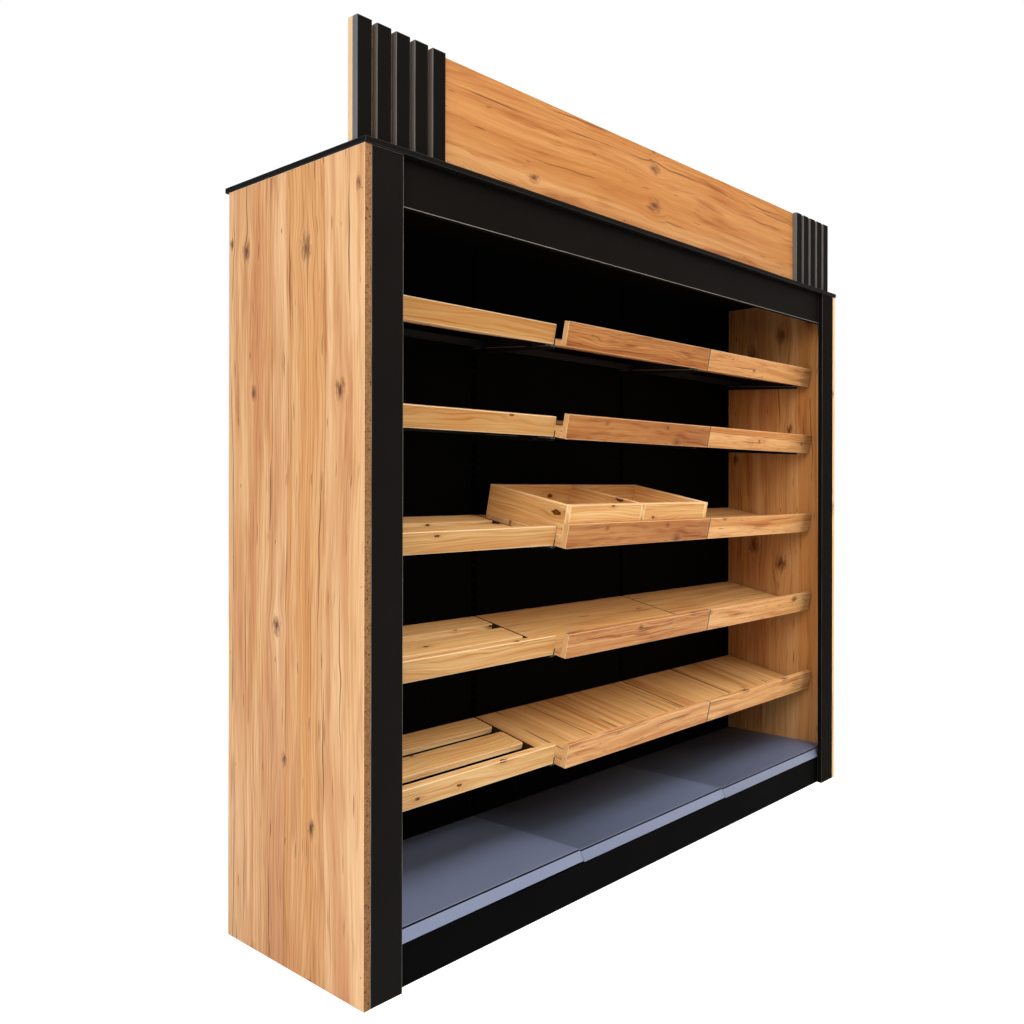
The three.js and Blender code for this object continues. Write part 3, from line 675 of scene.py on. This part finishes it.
def screw_heads(name, spots, body, slot, head=3.6 * MM, rise=1.0 * MM):
    """Screw heads at spots, each a place and a facing."""
    points = bpy.data.meshes.new(name)
    points.from_pydata([p for p, _ in spots], [], [])
    facing = points.attributes.new("facing", "FLOAT_VECTOR", "POINT")
    facing.data.foreach_set("vector", [c for _, f in spots for c in f])
    mesh = grown(points, SCREWS, Head=head, Rise=rise, Finish=SCREW)
    mesh.name = name
    return place_piece(name, mesh, body, slot)


# The side panels are faced with the print; the left one's front edge is bare, the right one's taped.
# Each row: node, tone, the front edge's tone and which finish the edge has
EDGE_DEEP, EDGE_SEAM = 1.2 * MM, 0.05 * MM
PANEL_BOLD, EDGE_BOLD = 0.65, 0.3
SIDE_PANELS = (("left_side_panel", 0.0, 0.0, 1), ("right_side_panel", -0.25, 1.6, 0))
for number, (node, tone, edge_tone, edge_finish) in enumerate(SIDE_PANELS):
    low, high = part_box(node)
    faced_low = Vector((low.x, low.y + EDGE_DEEP, low.z))
    edge_high = Vector((high.x, low.y + EDGE_DEEP - EDGE_SEAM, high.z))
    edge = {"finish": edge_finish, "tone": edge_tone, "bold": EDGE_BOLD}
    boards = [
        Board(faced_low, high, 2, 11 + number, 0.5 * MM, tone=tone, bold=PANEL_BOLD),
        Board(low, edge_high, 2, 21 + number, 0.4 * MM, **edge),
    ]
    place_boards(node + "_board", boards, [OAK, CHIPBOARD], "rack", "oak_board", node)

# Other cladding: node, grain axis, rounding in mm, tone, ends, boldness, finish, slot. The tone is a painted
# arris highlight on the black boards and painted shade on the header
CLADDING = (
    ("left_post", 2, 1.2, 0.9, 0.0, 0.9, BLACK, "black_board"),
    ("right_post", 2, 1.2, 0.2, 0.0, 0.15, BLACK, "black_board"),
    ("top_panel", 0, 1.2, 0.1, 0.0, 0.8, BLACK, "black_board"),
    ("header_board", 0, 0.8, -0.8, 1.0, 0.7, OAK, "oak_board"),
    ("plinth", 0, 1.0, 0.0, 0.0, 1.0, BLACK_STEEL, "dark_steel"),
)
for number, (node, axis, ease, tone, ends, bold, finish, slot) in enumerate(CLADDING):
    low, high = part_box(node)
    board = Board(low, high, axis, 13 + number, ease * MM, tone=tone, ends=ends, bold=bold)
    place_boards(node + "_board", [board], [finish], "rack", slot, node)

# The fascia has a pale edging strip let in along its lower front corner, partly a painted highlight on that
# edge
STRIP = 1.2 * MM
FASCIA_SHINE = 0.4
low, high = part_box("fascia")
strip_high = Vector((high.x, low.y + STRIP, low.z + STRIP))
upper_low = Vector((low.x, low.y, strip_high.z))
lower_low, lower_high = Vector((low.x, strip_high.y, low.z)), Vector((high.x, high.y, strip_high.z))
fascia_boards = [
    Board(upper_low, high, 0, 31, 0.5 * MM, bold=FASCIA_SHINE),
    Board(lower_low, lower_high, 0, 32, 0.3 * MM, bold=FASCIA_SHINE),
    Board(low, strip_high, 0, 33, 0.3 * MM, finish=1),
]
place_boards("fascia_board", fascia_boards, [BLACK, EDGING], "rack", "black_board", "fascia")

# Header slats: one eased slat repeated along the board
SLAT_WIDTH, SLAT_STEP, SLAT_COUNT = 44 * MM, 59 * MM, 5
# the slats' tone sets their painted arris highlight, their ends a painted sheen on the slats' sides
SLAT_LOOK = {"tone": 0.35, "ends": 0.6, "bold": 0.4}
for side in ("left", "right"):
    node = side + "_header_slats"
    low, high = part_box(node)
    slat_high = Vector((low.x + SLAT_WIDTH, high.y, high.z))
    slat = boards_mesh("slat", [Board(low, slat_high, 2, 41, 1.4 * MM, **SLAT_LOOK)], [BLACK])
    slats = grown(slat, ROW, Count=SLAT_COUNT, Step=(SLAT_STEP, 0, 0), Finish=BLACK)
    slats.name = node + "_boards"
    place_piece(node + "_boards", slats, "rack", "black_board", node)

# Steel carried over from the CAD nodes
for node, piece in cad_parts.items():
    if any(word in node for word in ("upright", "base_leg", "back_panel", "bracket_frame")):
        piece.data.materials.clear()
        piece.data.materials.append(BRACKET_STEEL if "bracket" in node else BLACK_STEEL)


def shelf_place(bay, level):
    """The shelf's own frame: x along the lip from the bay's middle, y back along the slope, z square
    to it."""
    low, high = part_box(f"{bay}_shelf_{level}")
    middle = (low.x + high.x) / 2
    back = Vector((middle, BACK_PANEL_FRONT, SHELF_BACK_MM[level] * MM))
    return Matrix.Translation(back) @ Matrix.Rotation(TILT, 4, "X")


# 1 mm short of the solid at each end, so that the gap between two shelves shows
SHELF_HALF = 397 * MM
BOARD_THICK = 18 * MM
# how pale or deep each lip is painted, from the top level down, and the boards behind the lips: painted light
# and shade, deepest on the top lips and pale on the decks
LIP_LIGHT_AND_SHADE = {
    "left": (-1.0, -0.95, -0.7, -0.5, -0.25),
    "middle": (-1.0, -1.0, -0.8, -0.4, 0.0),
    "right": (-0.45, -0.2, 0.3, 0.65, 0.45),
}
DECK_PAINTED_LIGHT = {"left": 2.0, "middle": 1.5, "right": 2.0}
# how fine the figure of each laminate deck is, from the top level down, and of the lips
DECK_FIGURE = (0.8, 0.8, 0.8, 0.45, 0.28)
LIP_FIGURE = 1.4
DECK_BOLD = 0.8
LIP_BOLD = {"middle": 1.15, "right": 0.9}
# the decks' ends and the right lips' ends are painted dark with the gaps' shade; the middle lips' ends are
# taped
DECK_END_SHADE = -1.0
LIP_END_TAPE_AND_SHADE = {"middle": 1.0, "right": -0.6}
# which stretch of the print each lip shows; two of them are cut alike
LIP_SEED = {"middle": (732, 739, 739, 722, 709), "right": (734, 755, 729, 761, 715)}
# laminate shelf: the board's back and front, the lip's front, back and top, and the end tape
DECK_BACK, DECK_FRONT = -6 * MM, -369 * MM
LIP_FRONT, LIP_BACK, LIP_TOP = -387 * MM, -369.1 * MM, 56 * MM
END_TAPE, TAPE_BACK, TAPE_SEED = 0.8 * MM, -345 * MM, 900


def laminate_boards(bay, level, seed):
    """A board and its upstanding lip. On the lowest level the board's grain runs front to back."""
    place = shelf_place(bay, level)
    axis = 1 if level == 5 else 0
    row = level - 1
    deck_low = Vector((-SHELF_HALF, DECK_FRONT, -BOARD_THICK))
    deck_high = Vector((SHELF_HALF, DECK_BACK, 0))
    deck = {"tone": DECK_PAINTED_LIGHT[bay], "ends": DECK_END_SHADE, "figure": DECK_FIGURE[row], "bold": DECK_BOLD}
    lip_low = Vector((-SHELF_HALF, LIP_FRONT, -BOARD_THICK))
    lip_high = Vector((SHELF_HALF, LIP_BACK, LIP_TOP))
    lip = {"tone": LIP_LIGHT_AND_SHADE[bay][row], "ends": LIP_END_TAPE_AND_SHADE[bay], "figure": LIP_FIGURE, "bold": LIP_BOLD[bay]}
    boards = [
        Board(deck_low, deck_high, axis, seed, 0.8 * MM, place, **deck),
        Board(lip_low, lip_high, 0, LIP_SEED[bay][row], 0.8 * MM, place, **lip),
    ]
    if bay == "middle":
        # the board's left end shows in front of the pine lip and is taped there; the tape's paleness is
        # partly painted light
        tape_low = Vector((-SHELF_HALF - END_TAPE, DECK_FRONT, -BOARD_THICK))
        tape_high = Vector((-SHELF_HALF, TAPE_BACK, 0))
        boards.append(Board(tape_low, tape_high, 1, seed + TAPE_SEED, 0.2 * MM, place, tone=0.6))
    return boards


# Pine shelf: back and front of each plank in mm, then the lip and the battens
PLANKS_MM = ((6, 92), (128, 224), (260, 325.8))
PLANK_CORNER, PLANK_LIGHT_FADE = 9 * MM, 0.15
PINE_LIP_FRONT, PINE_LIP_BACK, PINE_LIP_TOP, PINE_LIP_BOLD = -346 * MM, -326 * MM, 42 * MM, 0.6
BATTEN_INSET, BATTEN_WIDTH = 16 * MM, 25 * MM
BATTEN_FRONT, BATTEN_BACK, BATTEN_FOOT = -300 * MM, -16 * MM, -36 * MM
PLANK_SCREWS_MM = (26, 72, 152, 200, 293)


def pine_boards(bay, level, seed):
    """Three spaced planks on two battens, black as painted shade under the shelf, with a lip along the front.
    """
    place = shelf_place(bay, level)
    boards = []
    for number, (back, front) in enumerate(PLANKS_MM):
        low = Vector((-SHELF_HALF, -front * MM, -BOARD_THICK))
        high = Vector((SHELF_HALF, -back * MM, 0))
        # each plank further forward is painted a little less pale
        tone = DECK_PAINTED_LIGHT[bay] - PLANK_LIGHT_FADE * number
        boards.append(Board(low, high, 0, seed + number, 2.0 * MM, place, tone=tone, corner=PLANK_CORNER))
    lip_low = Vector((-SHELF_HALF, PINE_LIP_FRONT, -BOARD_THICK))
    lip_high = Vector((SHELF_HALF, PINE_LIP_BACK, PINE_LIP_TOP))
    tone = LIP_LIGHT_AND_SHADE[bay][level - 1]
    boards.append(Board(lip_low, lip_high, 0, seed + 7, 2.0 * MM, place, tone=tone, bold=PINE_LIP_BOLD))
    for left in (-SHELF_HALF + BATTEN_INSET, SHELF_HALF - BATTEN_INSET - BATTEN_WIDTH):
        low = Vector((left, BATTEN_FRONT, BATTEN_FOOT))
        high = Vector((left + BATTEN_WIDTH, BATTEN_BACK, -BOARD_THICK))
        # the battens are black: painted shade under the shelf
        boards.append(Board(low, high, 1, seed + 9, 1.5 * MM, place, finish=1))
    return boards


# Painted highlights on the bracket plates: distance of a plate from the bay's middle, size of the pale
# highlight strip, then the nose and the lower edge from the shelf's back point
BRACKET_X, HIGHLIGHT_WIDE, HIGHLIGHT_TALL = 394 * MM, 3.6 * MM, 2.4 * MM
NOSE_LOW, NOSE_HIGH = Vector((0, -343 * MM, -25 * MM)), Vector((0, -318 * MM, -18.4 * MM))
HEEL_DEEP, NOSE_DEEP, NOSE_REACH = 66 * MM, 23 * MM, 338 * MM


def bracket_highlights(bay, level):
    """Painted highlights along the nose and lower edge of the shelf's two bracket plates, a sleeve and a bead
    on each.
    """
    place = shelf_place(bay, level)
    heel = Vector((0, 0, -HEEL_DEEP))
    nose = Matrix.Rotation(TILT, 3, "X") @ Vector((0, -NOSE_REACH, -NOSE_DEEP))
    run = nose - heel
    slope = math.atan2(run.z, -run.y)
    lean = Matrix.Translation(place.translation) @ Matrix.Translation(heel) @ Matrix.Rotation(-slope, 4, "X")
    boards = []
    for x in (-BRACKET_X, BRACKET_X):
        near, far = Vector((x - HIGHLIGHT_WIDE / 2, 0, 0)), Vector((x + HIGHLIGHT_WIDE / 2, 0, 0))
        boards.append(Board(near + NOSE_LOW, far + NOSE_HIGH, 1, 5, 0.8 * MM, place))
        bead_low = near + Vector((0, -run.length, -HIGHLIGHT_TALL / 2))
        bead_high = far + Vector((0, 0, HIGHLIGHT_TALL / 2))
        boards.append(Board(bead_low, bead_high, 1, 6, 0.6 * MM, lean))
    return boards


for bay in BAYS:
    for level in LEVELS:
        node = f"{bay}_shelf_{level}"
        body = node + "_set"
        seed = 100 * (BAYS.index(bay) + 1) + 10 * level
        if bay == "left":
            boards, finishes, slot = pine_boards(bay, level, seed), [PINE, BLACK], "pine"
        else:
            boards, finishes, slot = laminate_boards(bay, level, seed), [OAK], "oak_board"
        place_boards(node + "_boards", boards, finishes, body, slot, node)
        # pale strips on the brackets: painted highlights
        edges = bracket_highlights(bay, level)
        place_boards(node + "_bracket_highlights", edges, [BRACKET_HIGHLIGHT_STEEL], body, "bracket_steel")
        if bay == "left":
            place = shelf_place(bay, level)
            up = place.to_3x3() @ Vector((0, 0, 1))
            aside = SHELF_HALF - BATTEN_INSET - BATTEN_WIDTH / 2
            spots = [
                (place @ Vector((x, -reach * MM, 0.1 * MM)), up)
                for reach in PLANK_SCREWS_MM for x in (-aside, aside)
            ]
            screw_heads(node + "_screws", spots, body, "pine", head=3.2 * MM, rise=0.8 * MM)

# The crate stands on the middle shelf of the third level
CRATE = shelf_place("middle", 3)
LEFT, RIGHT = -395 * MM, 395 * MM
NEAR, FAR = -368 * MM, -48 * MM
FLOOR_FOOT, FLOOR_TOP, WALL_FOOT, RIM = 0.3 * MM, 15.3 * MM, 15.6 * MM, 110 * MM
THICK, HALF_THICK = 18 * MM, 9 * MM
PLAY = 0.3 * MM
CRATE_EASE = 1.5 * MM
crate_parts = {
    "crate_left_side": [((LEFT, NEAR, WALL_FOOT), (LEFT + THICK, FAR, RIM), 1)],
    "crate_right_side": [((RIGHT - THICK, NEAR, WALL_FOOT), (RIGHT, FAR, RIM), 1)],
    "crate_front": [
        ((LEFT + THICK + PLAY, NEAR, WALL_FOOT), (-HALF_THICK - PLAY, NEAR + THICK, RIM), 0),
        ((HALF_THICK + PLAY, NEAR, WALL_FOOT), (RIGHT - THICK - PLAY, NEAR + THICK, RIM), 0),
    ],
    "crate_back": [((LEFT + THICK + PLAY, FAR - THICK, WALL_FOOT), (RIGHT - THICK - PLAY, FAR, RIM), 0)],
    "crate_divider": [((-HALF_THICK, NEAR, WALL_FOOT), (HALF_THICK, FAR - THICK - PLAY, RIM), 1)],
}
# how pale or deep the two sides, the front, the back and the divider are painted: painted light on the sides
# and painted shade on the others
CRATE_LIGHT_AND_SHADE = (2.0, 2.0, -0.15, -0.35, -0.3)
CRATE_BOLD = 0.7
for number, (node, parts) in enumerate(crate_parts.items()):
    look = {"tone": CRATE_LIGHT_AND_SHADE[number], "bold": CRATE_BOLD}
    boards = [
        Board(low, high, axis, 700 + 10 * number + i, CRATE_EASE, CRATE, **look)
        for i, (low, high, axis) in enumerate(parts)
    ]
    place_boards(node + "_board", boards, [PINE], "crate", "pine", node)

# Crate floor: three slats side by side from the front to the back
FLOOR_COUNT, FLOOR_GAP = 3, 13 * MM
SLAT_DEEP = (FAR - NEAR - (FLOOR_COUNT - 1) * FLOOR_GAP) / FLOOR_COUNT
floor_boards = []
for i in range(FLOOR_COUNT):
    near = NEAR + i * (SLAT_DEEP + FLOOR_GAP)
    low, high = (LEFT, near, FLOOR_FOOT), (RIGHT, near + SLAT_DEEP, FLOOR_TOP)
    floor_boards.append(Board(low, high, 0, 760 + i, CRATE_EASE, CRATE))
place_boards("crate_floor_slats", floor_boards, [PINE], "crate", "pine", "crate_floor")

# Screws through the crate's sides into its front and back, at two heights
CRATE_SCREWS_UP = (38 * MM, 90 * MM)
spots = []
for x, facing in ((LEFT, -1), (RIGHT, 1)):
    outward = CRATE.to_3x3() @ Vector((facing, 0, 0))
    for y in (NEAR + HALF_THICK, FAR - HALF_THICK):
        for z in CRATE_SCREWS_UP:
            spots.append((CRATE @ Vector((x + facing * 0.1 * MM, y, z)), outward))
screw_heads("crate_screws", spots, "crate", "pine", head=3.6 * MM)

# Screws through the side panels into the posts and the frame: distance from the front edge and height, in mm
PANEL_SCREWS_MM = ((11, 75), (11, 962), (11, 1868), (544, 1004))
for side, facing in (("left", -1), ("right", 1)):
    low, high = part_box(side + "_side_panel")
    face = low.x if facing < 0 else high.x
    outward = Vector((facing, 0, 0))
    spots = [(Vector((face, low.y + deep * MM, tall * MM)), outward) for deep, tall in PANEL_SCREWS_MM]
    screw_heads(side + "_panel_screws", spots, "rack", "oak_board", head=3.4 * MM, rise=0.6 * MM)


def rounded_section(corners, radius, steps=3):
    """A closed section with each corner rounded by radius, or less where an edge is short."""
    out = []
    count = len(corners)
    for i in range(count):
        here = Vector(corners[i])
        before = Vector(corners[i - 1]) - here
        after = Vector(corners[(i + 1) % count]) - here
        cut = min(radius, 0.45 * before.length, 0.45 * after.length)
        start = here + before.normalized() * cut
        end = here + after.normalized() * cut
        for s in range(steps + 1):
            t = s / steps
            out.append(start * (1 - t) ** 2 + here * 2 * t * (1 - t) + end * t ** 2)
    return out


# The pan's section, in mm back from the posts' front face and up from the floor
PAN_BACK = 472.7
PAN_SECTION = (
    (PAN_BACK, 118), (PAN_BACK, 132), (46, 132), (40.5, 132), (40.5, 130), (54, 130), (54, 124),
    (38.5, 124), (38.5, 127), (36, 128), (22, 101.5), (24.5, 100.5), (38.5, 122), (54, 122), (54, 118),
    (56, 118), (56, 130), (PAN_BACK - 2, 130), (PAN_BACK - 2, 118),
)
PAN_ROUNDING = 1.2 * MM
# how much painted light (1) or painted shade (-1) the coat has at each corner of the section: light on the
# flat's front edge and the lip, shade in the groove and under the lip's fold
PAN_LIGHT_AND_SHADE = (0, 0, 0, 0.5, 0.5, -1, -1, -1, -1, 1, 1, 0, -1, -1, 0, 0, 0, 0, 0)
# how much higher the right front corner of a pan sits than the left
PAN_LIFT_MM = {"left": 4.5, "middle": 3.0, "right": 0.0}
# how much more painted shade a pan's left end has than its right, next to the seam
PAN_LEFT_SHADE = {"left": 0.0, "middle": 0.4, "right": 0.4}
# each pan is drawn this much short at its ends, so that the seam shows
PAN_END_GAP = 1.0 * MM


def base_shelf_mesh(name, low, high, lift, dull):
    """A folded pan: back flange, flat, groove and sloping lip, its right front corner raised by lift."""
    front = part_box("left_post")[0].y
    section = rounded_section([(front + y * MM, z * MM) for y, z in PAN_SECTION], PAN_ROUNDING)
    count = len(section)
    tones = [tone for tone in PAN_LIGHT_AND_SHADE for _ in range(count // len(PAN_LIGHT_AND_SHADE))]
    made = bmesh.new()
    painted_light_amount = made.verts.layers.float.new("tone")
    left = [made.verts.new((low.x, p.x, p.y)) for p in section]
    raised = [lift * (1 - (p.x - front) / (PAN_BACK * MM)) for p in section]
    right = [made.verts.new((high.x, p.x, p.y + up)) for p, up in zip(section, raised)]
    # the section's painted light and shade, with extra painted shade at the left end
    for ring, duller in ((left, dull), (right, 0.0)):
        for corner, tone in zip(ring, tones):
            corner[painted_light_amount] = tone - duller
    for i in range(count):
        j = (i + 1) % count
        made.faces.new((left[i], left[j], right[j], right[i]))
    made.faces.new(left)
    made.faces.new(right[::-1])
    bmesh.ops.recalc_face_normals(made, faces=made.faces)
    mesh = bpy.data.meshes.new(name)
    made.to_mesh(mesh)
    made.free()
    mesh.materials.append(GREY_STEEL)
    return mesh


for bay in BAYS:
    node = bay + "_base_shelf"
    low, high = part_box(node)
    inset = Vector((PAN_END_GAP, 0, 0))
    pan = base_shelf_mesh(node + "_pan", low + inset, high - inset, PAN_LIFT_MM[bay] * MM, PAN_LEFT_SHADE[bay])
    place_piece(node + "_pan", pan, bay + "_base", "grey_steel", node)

# Camera at the photograph's place: level, 34 mm lens, turned a tenth of a degree. The focal length and the
# middle of view are in pixels of the photograph
PHOTO_SIDE, FOCAL, MIDDLE_X, MIDDLE_Y = 1024, 973.21, 499.0, 486.96
SENSOR = 36
CAMERA_PLACE = (-2.6343, -2.0125, 1.1898)
VIEW_X, VIEW_Y, VIEW_ROLL = 0.7310, 0.6824, math.radians(0.105)
forward = Vector((VIEW_X, VIEW_Y, 0)).normalized()
right_hand = Vector((VIEW_Y, -VIEW_X, 0)).normalized()
across = right_hand * math.cos(VIEW_ROLL) + Vector((0, 0, 1)) * math.sin(VIEW_ROLL)
upward = Vector((0, 0, 1)) * math.cos(VIEW_ROLL) - right_hand * math.sin(VIEW_ROLL)
lens = bpy.data.cameras.new("camera")
lens.sensor_width = SENSOR
lens.sensor_fit = "HORIZONTAL"
lens.lens = SENSOR * FOCAL / PHOTO_SIDE
lens.shift_x = (PHOTO_SIDE / 2 - MIDDLE_X) / PHOTO_SIDE
lens.shift_y = (MIDDLE_Y - PHOTO_SIDE / 2) / PHOTO_SIDE
lens.clip_end = 100
camera = bpy.data.objects.new("camera", lens)
turn = Matrix((across, upward, -forward)).transposed().to_4x4()
camera.matrix_world = Matrix.Translation(CAMERA_PLACE) @ turn
bpy.context.scene.collection.objects.link(camera)
bpy.context.scene.camera = camera


def plainly_seen(tree):
    """1 where the camera, a reflection or a clear piece looks at the floor or the room, and 0 for light."""
    path = add(tree, "ShaderNodeLightPath")
    direct = add(
        tree, "ShaderNodeMath", {0: path["Is Camera Ray"], 1: path["Is Glossy Ray"]}, operation="MAXIMUM",
    )[0]
    return add(tree, "ShaderNodeMath", {0: direct, 1: path["Is Transmission Ray"]}, operation="MAXIMUM")[0]


# Pale floor: keeps the rack's shadow near it and goes to plain white further off
FLOOR_HALF = 30
floor_corners = [(x * FLOOR_HALF, y * FLOOR_HALF, 0) for x, y in ((-1, -1), (1, -1), (1, 1), (-1, 1))]
floor_mesh = bpy.data.meshes.new("floor")
floor_mesh.from_pydata(floor_corners, [], [(0, 1, 2, 3)])
floor = bpy.data.objects.new("floor", floor_mesh)
floor.location.z = -0.5 * MM
bpy.context.scene.collection.objects.link(floor)
pale, tree = new_finish("pale_floor")
matt = add(tree, "ShaderNodeBsdfDiffuse", {"Color": paint("F2F2F2")})[0]
spot = add(tree, "ShaderNodeTexCoord")["Object"]
away = add(tree, "ShaderNodeVectorMath", {0: spot}, operation="LENGTH")["Value"]
rise = add(tree, "ShaderNodeMapRange", {"Value": away, "From Min": 1.4, "From Max": 3.6, "To Min": 0.72})[0]
# under the rack it has no glow of its own
stand_low, stand_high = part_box("plinth")[0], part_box("right_side_panel")[1]
stand_half = (stand_high.x, (stand_high.y - stand_low.y) / 2)
stand_middle = (0, (stand_high.y + stand_low.y) / 2, 0)
centred = add(tree, "ShaderNodeVectorMath", {0: spot, 1: stand_middle}, operation="SUBTRACT")[0]
outward = add(tree, "ShaderNodeVectorMath", {0: centred}, operation="ABSOLUTE")[0]
aside, behind, _ = add(tree, "ShaderNodeSeparateXYZ", {0: outward})
past_side = add(tree, "ShaderNodeMath", {0: aside, 1: stand_half[0]}, operation="GREATER_THAN")[0]
past_back = add(tree, "ShaderNodeMath", {0: behind, 1: stand_half[1]}, operation="GREATER_THAN")[0]
open_floor = add(tree, "ShaderNodeMath", {0: past_side, 1: past_back}, operation="MAXIMUM")[0]
clear = add(tree, "ShaderNodeMath", {0: open_floor, 1: rise}, operation="MULTIPLY")[0]
lift = add(tree, "ShaderNodeMath", {0: plainly_seen(tree), 1: clear}, operation="MULTIPLY")[0]
glow = add(tree, "ShaderNodeEmission", {"Color": (1, 1, 1, 1), "Strength": lift})[0]
both = add(tree, "ShaderNodeAddShader", {0: matt, 1: glow})[0]
add(tree, "ShaderNodeOutputMaterial", {"Surface": both})
floor_mesh.materials.append(pale)

# White room to the eye, dim as light so that the inside of the rack stays dark
world = bpy.data.worlds.new("white_room")
bpy.context.scene.world = world
world.use_nodes = True
tree = world.node_tree
tree.nodes.clear()
level = add(tree, "ShaderNodeMapRange", {"Value": plainly_seen(tree), "To Min": 0.02})[0]
sky = add(tree, "ShaderNodeBackground", {"Color": (1, 1, 1, 1), "Strength": level})[0]
add(tree, "ShaderNodeOutputWorld", {"Surface": sky})


# The key and front lamps leave out the base pans, which lie in the shelves' shade
SHADED = bpy.data.collections.new("shaded_pans")
for bay in BAYS:
    SHADED.objects.link(bpy.data.objects[bay + "_base_shelf_pan"])
for item in SHADED.collection_objects:
    item.light_linking.link_state = "EXCLUDE"


def soft_light(name, spot, target, size, watts, tint, past_pans=False):
    """A square area lamp at spot, facing target, that leaves no mirror image of itself and may leave
    out the base pans."""
    lamp = bpy.data.lights.new(name, "AREA")
    lamp.shape = "SQUARE"
    lamp.size = size
    lamp.energy = watts
    lamp.color = paint(tint)[:3]
    holder = bpy.data.objects.new(name, lamp)
    holder.visible_glossy = False
    holder.visible_camera = False
    if past_pans:
        holder.light_linking.receiver_collection = SHADED
    aim = (Vector(target) - Vector(spot)).to_track_quat("-Z", "Y")
    holder.matrix_world = Matrix.Translation(spot) @ aim.to_matrix().to_4x4()
    bpy.context.scene.collection.objects.link(holder)


soft_light("key", (-5.2, -2.4, 2.6), (-1.2, -0.2, 1.0), 2.4, 112, "FFF8EE", past_pans=True)
soft_light("left_window", (-5.4, 0.2, 2.2), (-1.25, 0.0, 1.0), 2.4, 150, "B8D0FF")
soft_light("front", (0.6, -5.0, 4.2), (0.2, 0.0, 0.8), 3.0, 109, "FFF8EE", past_pans=True)
soft_light("overhead", (-0.6, -3.2, 4.4), (0.0, 0.0, 0.9), 3.2, 30, "FFFFFF")
soft_light("ceiling", (0.1, -1.7, 4.6), (0.0, -0.1, 1.0), 2.4, 86, "FFFFFF")
soft_light("left_top", (-2.0, -2.6, 3.6), (-0.8, 0.0, 0.8), 2.0, 40, "FFFFFF")
soft_light("back", (0.9, 5.2, 3.6), (0.0, 0.3, 1.2), 3.0, 70, "FFFFFF")
soft_light("right_low", (2.6, -1.5, 1.2), (0.9, -0.1, 1.0), 1.2, 15, "FFE4BC")

bpy.context.scene.view_settings.view_transform = "Standard"
